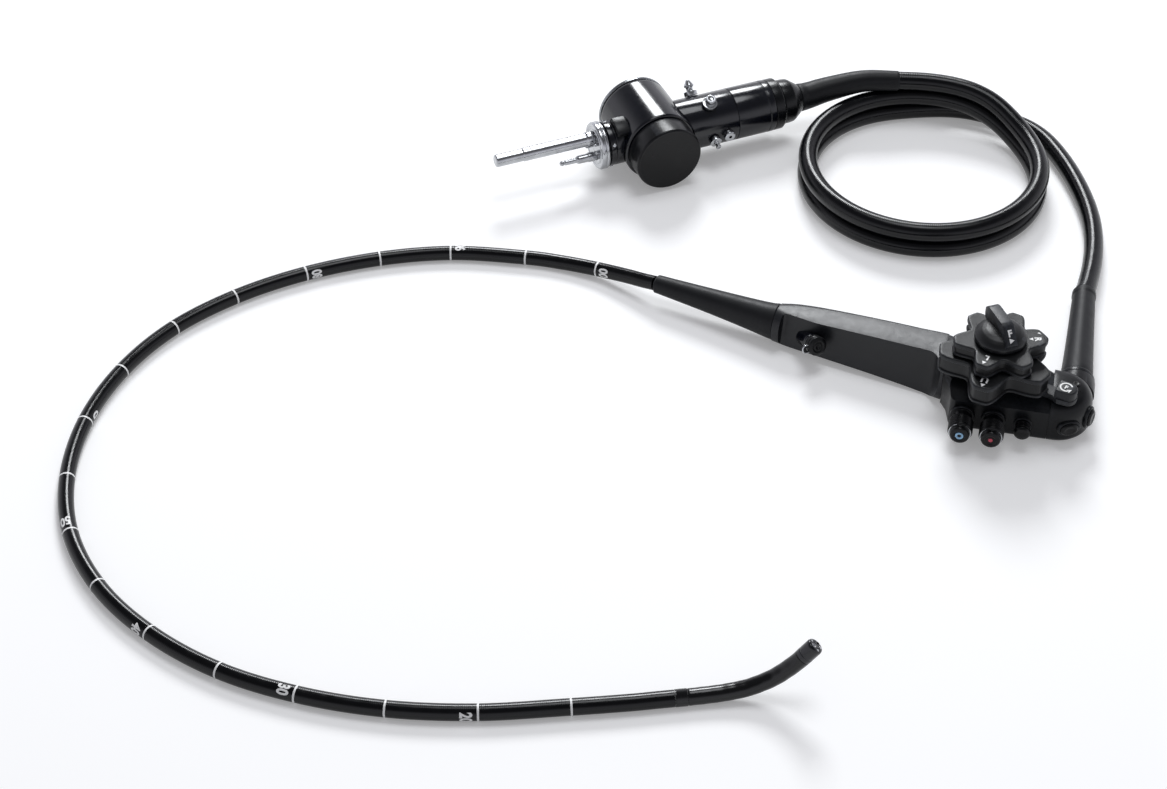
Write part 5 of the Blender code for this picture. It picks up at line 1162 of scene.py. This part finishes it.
def make_lock_knob():
    """Domed disc with a finger bar."""
    low = 0.0620
    rim = low + 0.0050
    dome = rim + 0.0040
    top = low + 0.0048
    profile = [(0.0, 71.0), (3.0, 70.9), (6.0, 70.6), (9.0, 70.1), (11.8, 69.1), (13.8, 67.8), (15.0, 66.6),
               (16.0, 65.4), (16.0, 63.0), (15.3, 62.0), (2.9, 62.0), (2.9, 66.8), (0.0, 66.8)]
    reach = 0.0160
    half = 0.0035
    face_low = (reach - 0.0004, rim + 0.0016)
    face_high = (reach * 0.45, dome + 0.0065)
    side = [(-reach + 0.0010, top + 0.0001), (reach - 0.0004, top + 0.0001), face_low, face_high,
            (reach * 0.30, dome + 0.0075), (-reach * 0.80, dome + 0.0069), (-reach - 0.0006, dome + 0.0045),
            (-reach - 0.0006, rim + 0.0030)]
    bar = place(prism(rounded_polygon(side, 0.0022, 5), -half, half),
                LOCK_TURN @ Matrix.Rotation(math.pi / 2.0, 4, "X"))
    mesh = carved("right_left_lock", turned("disc", profile, 96, 0.0005), [bar], [], 0.0008, 4)
    add("right_left_lock", mesh, "knob_grey", "rl_lock", replaced="rl_lock_knob")
    start = Vector((face_high[0], 0.0, face_high[1]))
    end = Vector((face_low[0], 0.0, face_low[1]))
    along = (end - start).normalized()
    out = Vector((-along.z, 0.0, along.x))
    face = Matrix((along, out.cross(along), out)).transposed().to_4x4() @ Matrix.Rotation(math.pi / 2.0, 4, "Z")
    middle = start.lerp(end, 0.50) + out * 0.00006
    letter = place(text_mesh("F", 0.0058), Matrix.Translation((0.0, -0.0020, 0.0)))
    marks = [place(letter, Matrix.Translation(middle - along * 0.0016) @ face),
             place(triangle(0.0020), Matrix.Translation(middle + along * 0.0030) @ face)]
    add("lock_marks", merged("marks", marks), "white_ink", "rl_lock", slot="knob_grey", at=LOCK_TURN)


def make_lever():
    """Lever that locks the larger knob, with its raised tab and a round arrow."""
    low = 0.0324
    high = 0.0360
    half = 0.00675
    reach = 0.0530
    inner = reach - 0.0145
    neck = 0.0045
    arm = [(0.0, -neck), (inner, -neck), (inner + 0.004, -half), *arc((reach - half, 0.0), half, -60, 60, 25),
           (inner + 0.004, half), (inner, neck), (0.0, neck)]
    bore = prism(arc((0.0, 0.0), 0.0066, 0.0, 352.0, 45), low - 0.002, high + 0.002)
    tab = [(inner + 0.0015, -half + 0.001), *arc((reach - half, 0.0), half - 0.0004, -58, 58, 25),
           (inner + 0.0015, half - 0.001)]
    parts = [turned("hub", [(6.5, 36.0), (15.0, 36.0), (15.0, 32.4), (6.5, 32.4)], 72, 0.0004, True),
             carved("arm", plate("arm", arm, low, high, 0.0005, 4), [], [bore]),
             plate("tab", rounded_polygon(tab, 0.0010, 2), low + 0.001, high + 0.0060, 0.0011, 5)]
    turn = Matrix.Rotation(HEAD_TURN + math.radians(-17.0), 4, "Z")
    add("up_down_lock", merged("up_down_lock", parts), "knob_grey", "ud_lock", replaced="ud_lock_lever", at=turn)
    ring = arc_strip(0.0031, 0.0041, 30.0, 310.0, -PRINT, PRINT, 32)
    letter = place(text_mesh("F", 0.0042, PRINT, 0.00014), Matrix.Translation((0.0, -0.0015, 0.0)))
    marks = merged("marks", [ring, on_face(triangle(0.0018), 0.0036, 318.0, 0.0, 48.0), letter])
    add("lever_marks", marks, "white_ink", "ud_lock", slot="knob_grey",
        at=turn @ Matrix.Translation((reach - half - 0.0008, 0.0, high + 0.0061)))


make_knobs()
make_lock_knob()
make_lever()


# Bending section and tip

REST_ANGLES = (2.0, 7.0, 16.0, 17.0, 10.0)
PIVOT_PITCH = 0.0076
BEND_FORWARD = spoke(BEND_HEADING)


def bend_frames():
    """Rest frames of the bending section's pivots: Z along it, X its up and down hinge axis."""
    spot = BEND_START + BEND_FORWARD * 0.0040
    frames = []
    lift = 0.0
    for index in range(2 * len(REST_ANGLES) - 1):
        if index % 2 == 0:
            lift += math.radians(REST_ANGLES[index // 2])
        heading = BEND_FORWARD * math.cos(lift) + UP * math.sin(lift)
        rise = UP * math.cos(lift) - BEND_FORWARD * math.sin(lift)
        frames.append(frame_along(spot, heading, rise))
        spot = spot + heading * PIVOT_PITCH
    return frames


BEND_FRAMES = bend_frames()


def make_bending():
    """Rubber cover as one sleeve per joint."""
    pivots = [pivot.translation for pivot in BEND_FRAMES]
    middles = [BEND_START - BEND_FORWARD * 0.0001]
    middles += [first.lerp(second, 0.5) for first, second in zip(pivots, pivots[1:])]
    middles.append(BEND_FRAMES[-1] @ Vector((0.0, 0.0, 0.0057)))
    centres = [middles[0]]
    for middle, pivot in zip(middles[1:], pivots):
        centres += [pivot, middle]
    track = Track(averaged(averaged(smooth_route(centres, 0.00040), 13), 11))
    marks = [0.0, *(track.nearest(middle) for middle in middles[1:-1]), track.length]
    steps = 24
    swell = 0.00004
    tuck = 0.00025
    for index, (start, end) in enumerate(zip(marks, marks[1:])):
        rows = []
        for step in range(steps + 1):
            radius = TUBE_DIAMETER / 2.0 - swell / 2.0 + swell * math.cos(math.tau * step / steps)
            if index == 0 and step < 3:
                radius -= tuck * (1.0 - step / 3.0)
            rows.append(track.hoop(start + (end - start) * step / steps, radius, 40))
        name = f"bending_sleeve_{index + 1}"
        made = add(name, skin(name, rows), "bend_black", None, "tube_black", "" if index else "bending_rubber")
        pivot = pivots[index]
        ahead = BEND_FRAMES[index].to_3x3() @ UP
        first = track.at(start)[0] if index else pivot - ahead * 0.0036
        half = min((pivot - first).dot(ahead), (track.at(end)[0] - pivot).dot(ahead))
        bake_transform(made)


def make_bend_base():
    """Collar where the bending section starts, with its bound thread under lacquer."""
    profile = [(3.0, -0.2), (4.7, -0.2), (5.0, -0.5)]
    for step in range(17):
        at = -0.6 - step * 0.36
        profile += [(5.06, at), (5.0, at - 0.18)]
    profile += [(5.0, -7.0), (4.8, -7.2), (3.0, -7.2)]
    add("thread_band", turned("thread_band", profile, 56, 0.0, True), "bend_black", slot="bone_steel",
        at=frame_along(BEND_START, BEND_FORWARD))


def make_tip():
    """Rigid tip: shell, glue line, lenses, nozzle and the channel's mouth."""
    matrix = BEND_FRAMES[-1]
    face = 17.0
    holes = {"channel": (2.1, -1.8, 1.4, 8.0), "objective": (-0.8, 1.6, 1.5, 1.6), "left": (-3.3, -0.6, 1.0, 1.4),
             "right": (2.4, 2.2, 1.0, 1.4), "nozzle": (-1.2, -2.4, 0.9, 2.0)}
    seats = {name: Matrix.Translation((x / 1000.0, y / 1000.0, 0.0)) for name, (x, y, _, _) in holes.items()}
    profile = [(0.0, face), (3.6, face), (4.4, face - 0.3), (4.8, face - 0.9), (5.0, face - 1.8), (5.0, 9.2),
               (4.85, 9.0), (4.85, 8.7), (5.0, 8.5), (5.0, 6.0), (3.0, 6.0), (0.0, 6.0)]
    cuts = []
    for name, (_, _, radius, depth) in holes.items():
        drill = [(0.0, face + 1.0), (radius, face + 1.0), (radius, face - depth), (0.0, face - depth)]
        cuts.append(place(turned("drill", drill, 32, 0.0), seats[name]))
    mesh = carved("tip_shell", turned("tip_shell", profile, 80, 0.0002), [], cuts, 0.0001, 2)
    add("tip_shell", mesh, "gloss_black", "tip", "shell_black", "tip_body", matrix)
    rim = [(1.18, face + 0.02), (1.42, face + 0.02), (1.42, face - 1.2), (1.18, face - 1.2)]
    lens = [(0.0, face + 0.1), (0.5, face + 0.06), (0.9, face - 0.08), (1.16, face - 0.2), (1.16, face - 1.2),
            (0.0, face - 1.2)]
    glass = [(0.0, face), (0.4, face - 0.03), (0.7, face - 0.1), (0.9, face - 0.3), (0.9, face - 1.2),
             (0.0, face - 1.2)]
    spout = [(0.0, face + 0.7), (0.6, face + 0.7), (0.8, face + 0.4), (0.8, face - 1.7), (0.0, face - 1.7)]
    liner = [(1.2, face - 0.1), (1.39, face - 0.1), (1.39, face - 7.8), (1.2, face - 7.8)]
    for name, hole, mesh, look, slot, replaced in (
            ("objective_rim", "objective", turned("rim", rim, 48, 0.00005, True), "bone_steel", None, ""),
            ("objective_glass", "objective", turned("lens", lens, 48, 0.0), "lens_glass", None, "objective_lens"),
            ("light_lens_left_glass", "left", turned("lens", glass, 40, 0.0), "light_glass", "lens_glass",
             "light_lens_left"),
            ("light_lens_right_glass", "right", turned("lens", glass, 40, 0.0), "light_glass", "lens_glass",
             "light_lens_right"),
            ("nozzle_spout", "nozzle", turned("spout", spout, 32, 0.0001), "bone_steel", None, "water_nozzle"),
            ("channel_liner", "channel", turned("liner", liner, 40, PRINT, True), "bone_steel", None, "")):
        add(name, mesh, look, "tip", slot, replaced, matrix @ seats[hole])


make_bending()
make_bend_base()
make_tip()


# Connector

STRAIGHT = frame_along((0.0, 0.0, 0.0), ALONG_X)
CROSS = frame_along((0.0426, 0.0, 0.0), ALONG_Y)
BARREL_RADIUS = 0.0158
SLEEVE_RADIUS = 0.0185


def round_face(angle):
    """Direction out of the connector's round side. Angle 0 is up, positive towards the viewer."""
    turn = math.radians(angle)
    return Vector((0.0, -math.sin(turn), math.cos(turn)))


def on_round(along, angle, radius):
    """Frame on the connector's round side, Z out of it."""
    outward = round_face(angle)
    return frame_along(Vector((along, 0.0, 0.0)) + outward * radius, outward, ALONG_X)


def make_connector():
    """Connector's casings, flange, pins, contact plug and neck."""
    flange = [(0.0, 7.0), (15.2, 7.0), (15.8, 6.0), (16.7, 5.6), (17.0, 5.0), (17.0, 4.0), (16.5, 3.6), (16.5, 3.2),
              (17.0, 2.8), (17.0, 1.2), (16.0, 0.0), (14.2, 0.0), (13.8, 0.5), (12.6, 0.5), (12.2, 0.0), (0.0, 0.0)]
    guide = [(0.0, 72.8), (3.0, 73.0), (4.0, 72.6), (4.4, 72.0), (4.4, 53.0), (4.8, 52.4), (4.8, 6.0), (5.4, 5.0),
             (5.4, 1.4), (4.8, 1.0), (4.8, -4.2), (0.0, -4.2)]
    air = [(0.0, 27.0), (1.0, 27.0), (1.7, 26.2), (1.9, 25.2), (1.5, 24.6), (1.5, 23.6), (1.9, 23.0), (1.9, 15.0),
           (2.6, 14.2), (3.0, 13.2), (3.0, 6.6), (3.4, 6.0), (3.4, 2.0), (3.0, 1.4), (3.0, -4.2), (0.0, -4.2)]
    barrel = [(0.0, 42.6), (15.8, 42.6), (15.8, 12.2), (15.5, 12.0), (15.5, 11.4), (15.8, 11.2), (15.8, 7.3),
              (0.0, 7.3)]
    sleeve = [(0.0, 103.2), (18.5, 103.2), (18.5, 42.6), (0.0, 42.6)]
    housing = [(0.0, 30.0), (23.4, 30.0), (24.1, 30.0), (25.0, 29.6), (25.8, 28.6), (26.1, 27.2), (26.1, -16.6),
               (25.7, -17.5), (25.0, -18.0), (0.0, -18.0)]
    cap = [(0.0, -18.3), (24.0, -18.3), (24.0, -33.0), (23.6, -33.8), (22.8, -34.3), (22.2, -34.1), (0.0, -34.1)]
    contact = [(0.0, 33.0), (17.6, 33.0), (19.0, 33.4), (19.0, 35.0), (21.9, 35.0), (22.5, 34.4), (22.5, 33.2),
               (25.4, 33.0), (25.9, 32.5), (25.9, 30.8), (25.4, 30.3), (22.5, 30.3), (22.5, 20.0), (0.0, 20.0)]
    rear = [(0.0, 132.6), (18.5, 132.6), (18.5, 128.4), (18.2, 128.1), (18.2, 127.7), (18.5, 127.4), (18.5, 103.5),
            (0.0, 103.5)]
    neck = [(0.0, 157.0), (10.2, 157.0), (14.7, 150.8), (15.4, 149.5), (15.7, 147.0), (15.8, 141.6), (15.2, 141.0),
            (15.8, 140.5), (17.3, 140.4), (18.3, 139.4), (18.3, 133.2), (18.0, 132.9), (0.0, 132.9)]
    post = [(0.0, 3.4), (0.7, 3.3), (1.0, 2.8), (1.0, 0.0), (0.0, 0.0)]
    pad = [(0.0, 33.7), (1.2, 33.7), (1.4, 33.4), (1.4, 32.9), (0.0, 32.9)]

    def outwards(start, side, height):
        return frame_along((start, side, height), (-1.0, 0.0, 0.0))

    seats = [place(turned("seat", [(0.0, 1.0), (radius, 1.0), (radius, -1.0), (0.0, -1.0)], 40, 0.0),
                   frame_along((0.0, side, height), ALONG_X))
             for radius, side, height in ((5.2, 0.0020, 0.0056), (3.4, -0.0030, -0.0060))]
    clear = place(turned("clear", [(0.0, 60.0), (26.4, 60.0), (26.4, -60.0), (0.0, -60.0)], 96, 0.0), CROSS)
    posts = [place(turned("post", post, 20, 0.0001), outwards(0.0002, side, height))
             for side, height in mm((-7.2, 6.2), (-9.8, 1.2), (8.6, -5.8), (4.0, -9.6))]
    pads = [place(turned("pad", pad, 20, 0.0001), Matrix.Translation(spoke(turn) * radius))
            for radius, number in ((0.0138, 14), (0.0088, 8)) for turn in circle(number)]
    for name, mesh, matrix, look, slot, replaced in (
            ("flange_disc", carved("flange", place(turned("flange", flange, 96), STRAIGHT), [], seats, 0.00015, 2),
             Matrix(), "fitting_chrome", None, "flange_ring"),
            ("guide_tube", turned("guide", guide, 56), outwards(0.0, 0.0020, 0.0056), "fitting_chrome", None,
             "light_guide_tube"),
            ("air_nipple", turned("air", air, 48, 0.0002), outwards(0.0, -0.0030, -0.0060), "fitting_chrome", None,
             "air_pin"),
            ("contact_posts", merged("posts", posts), Matrix(), "fitting_chrome", None, ""),
            ("barrel_casing", carved("barrel", place(turned("barrel", barrel, 96), STRAIGHT), [], [clear], 0.0004),
             Matrix(), "gloss_black", "shell_black", "front_barrel"),
            ("sleeve_casing", carved("sleeve", place(turned("sleeve", sleeve, 96, 0.0004), STRAIGHT), [], [clear],
                                     0.0005), Matrix(), "gloss_black", "shell_black", "front_sleeve"),
            ("housing_casing", turned("housing", housing, 128, 0.0005), CROSS, "gloss_black", "shell_black",
             "cross_housing"),
            ("cap_casing", turned("cap", cap, 128, 0.0004), CROSS, "cap_black", "shell_black", "housing_cap"),
            ("contact_ring", turned("contact", contact, 128), CROSS, "contact_steel", "fitting_chrome", "contact_plug"),
            ("contact_pads", merged("pads", pads), CROSS, "gold_contact", "fitting_chrome", ""),
            ("rear_casing", turned("rear", rear, 96, 0.0004), STRAIGHT, "gloss_black", "shell_black", "rear_sleeve"),
            ("neck_casing", turned("neck", neck, 96, 0.0004), STRAIGHT, "boot_gloss", "shell_black", "neck_ring")):
        add(name, mesh, look, slot=slot, replaced=replaced, at=CONNECTOR @ matrix)


def make_screws():
    """Small slotted screw heads around the barrel, next to the flange."""
    head = [(0.0, 0.7), (0.9, 0.7), (1.3, 0.3), (1.3, -1.0), (0.0, -1.0)]
    slot_turn = 0.6
    place_along = 0.0096
    parts = []
    for angle in (-34.0, -14.0, 8.0, 62.0, 150.0, 230.0):
        cut = place(slab((-0.002, -0.0002, 0.0004), (0.002, 0.0002, 0.002)),
                    Matrix.Rotation(slot_turn + math.radians(angle), 4, "Z"))
        mesh = carved("screw", turned("screw", head, 28, 0.0001), [], [cut])
        parts.append(place(mesh, on_round(place_along, angle, BARREL_RADIUS)))
    add("barrel_screws", merged("screws", parts), "fitting_chrome", at=CONNECTOR)


def make_fittings():
    """Suction nipple, earth stud with its nut, and water port with its lug."""
    nipple = [(0.0, 11.8), (1.0, 11.8), (1.4, 11.4), (3.6, 7.8), (3.6, 7.0), (2.6, 6.2), (2.4, 5.6), (2.4, 4.2),
              (3.0, 3.7), (4.8, 3.4), (4.8, 0.3), (3.0, 0.3), (3.0, -3.0), (0.0, -3.0)]
    stud = [(0.0, 7.2), (1.6, 7.2), (2.0, 8.4), (3.0, 8.4), (3.6, 7.7), (3.6, 5.2), (3.0, 4.5), (3.0, 3.6), (3.4, 3.4),
            (5.2, 3.2), (5.2, 0.7), (3.2, 0.5), (3.2, -3.0), (0.0, -3.0)]
    port = [(0.0, 7.6), (0.8, 7.6), (1.0, 8.3), (1.8, 8.3), (2.1, 7.4), (1.5, 6.6), (1.5, 5.0), (2.1, 4.4), (2.1, 3.8),
            (4.2, 3.4), (4.2, 0.5), (3.2, 0.4), (3.2, -3.0), (0.0, -3.0)]
    lug = [(1.2, 4.4), (3.4, 4.4), (4.0, 3.8), (4.0, 0.6), (3.6, 0.0), (1.2, 0.0)]
    nut = prism([around(turn, 0.0047) for turn in circle(6)], 0.0009, 0.0030)
    fine = 0.00025
    for name, mesh, along, angle, replaced in (
            ("suction_nipple_metal", turned("nipple", nipple, 48, fine), 0.0790, -42.0, "suction_nipple"),
            ("earth_stud_metal", turned("stud", stud, 48, fine), 0.0840, 22.0, "earth_stud"),
            ("water_port_metal", turned("port", port, 48, fine), 0.0840, 104.0, "water_port"),
            ("stud_nut", carved("nut", nut, [], [], 0.0003, 2), 0.0840, 22.0, ""),
            ("water_lug", turned("lug", lug, 48, closed=True), 0.0942, 96.0, "")):
        add(name, mesh, "fitting_chrome", replaced=replaced, at=CONNECTOR @ on_round(along, angle, SLEEVE_RADIUS))


def make_clip():
    """Curved clip lying on the barrel in front of the cross housing, thinner towards its two ends."""
    low = 0.0161
    high = 0.0196
    start = 0.0125
    end = 0.0225
    edge = 0.0006
    first_angle = -9.0
    span = 54.0
    steps = 30
    sections = []
    for step in range(steps + 1):
        out = round_face(first_angle + span * step / steps)
        fade = min(1.0, min(step, steps - step) / 3.0)
        rise = low + (high - low) * (0.55 + 0.45 * fade)
        sections.append([Vector((at, 0.0, 0.0)) + out * radius for at, radius in (
            (start, low), (end, low), (end, rise - edge), (end - edge, rise), (start + edge, rise),
            (start, rise - edge))])
    add("clip_band", carved("clip_band", loft("clip", sections), [], [], 0.0003, 2), "cap_black", slot="shell_black",
        replaced="label_clip", at=CONNECTOR)


make_connector()
make_screws()
make_fittings()
make_clip()


# Stage and light

LIGHT_TARGET = Vector((-0.20, -0.05, 0.0))
LIGHT_SIZE = 1.10
FLOOR_GREY = 0.86
FLOOR_GLOW = 0.24


def make_floor():
    """A plain pale floor that keeps the object's shadow."""
    mesh = bpy.data.meshes.new("floor")
    half = 4.0
    mesh.from_pydata([(-half, -half, 0.0), (half, -half, 0.0), (half, half, 0.0), (-half, half, 0.0)], [],
                     [[0, 1, 2, 3]])
    made = bpy.data.objects.new("floor", mesh)
    bpy.context.scene.collection.objects.link(made)
    material = bpy.data.materials.new("floor")
    material.use_nodes = True
    material.node_tree.nodes.clear()
    tree = Tree(material.node_tree)
    diffuse = tree.node("ShaderNodeBsdfDiffuse", Color=(FLOOR_GREY, FLOOR_GREY, FLOOR_GREY, 1.0))
    glow = tree.node("ShaderNodeEmission", Color=(1.0, 1.0, 1.0, 1.0))
    tree.link(tree.maths("MULTIPLY", tree.seen_directly(), FLOOR_GLOW), glow.inputs["Strength"])
    both = tree.node("ShaderNodeAddShader")
    tree.link(diffuse.outputs[0], both.inputs[0])
    tree.link(glow.outputs[0], both.inputs[1])
    tree.link(both.outputs[0], tree.node("ShaderNodeOutputMaterial").inputs["Surface"])
    mesh.materials.append(material)


def make_world():
    """A white surround where it is seen, darker higher up, and a weaker even fill light."""
    world = bpy.data.worlds.new("world")
    bpy.context.scene.world = world
    world.use_nodes = True
    tree = Tree(world.node_tree)
    background = world.node_tree.nodes["Background"]
    background.inputs["Color"].default_value = (0.93, 0.93, 1.0, 1.0)
    towards = tree.node("ShaderNodeSeparateXYZ")
    tree.link(tree.node("ShaderNodeTexCoord").outputs["Generated"], towards.inputs[0])
    height = tree.node("ShaderNodeMapRange", From_Min=0.25, From_Max=0.70, To_Min=1.0, To_Max=0.16)
    height.interpolation_type = "SMOOTHSTEP"
    tree.link(towards.outputs["Z"], height.inputs["Value"])
    level = tree.node("ShaderNodeMapRange", To_Min=0.29)
    tree.link(height.outputs["Result"], level.inputs["To Max"])
    tree.link(tree.seen_directly(), level.inputs["Value"])
    tree.link(level.outputs["Result"], background.inputs["Strength"])


def area_light(name, location, energy, colour):
    """A round soft box that points at the middle of the object."""
    data = bpy.data.lights.new(name, "AREA")
    data.shape = "DISK"
    data.size = LIGHT_SIZE
    data.energy = energy
    data.color = colour
    made = bpy.data.objects.new(name, data)
    made.location = location
    direction = LIGHT_TARGET - Vector(location)
    made.rotation_euler = direction.to_track_quat("-Z", "Y").to_euler()
    bpy.context.scene.collection.objects.link(made)


bpy.context.scene.view_settings.view_transform = "Standard"
make_floor()
make_world()
area_light("key", (-1.23, 2.34, 2.03), 76.0, (0.96, 0.98, 1.0))
area_light("top", (-0.15, 0.40, 2.20), 15.5, (0.95, 0.97, 1.0))

for part in frame["record"]["subparts"]:
    look = "bend_black" if part["node"] == "bending_base" else part["material_slot"]
    for slot_in in NODES[part["node"]].material_slots:
        slot_in.material = LOOKS[look]
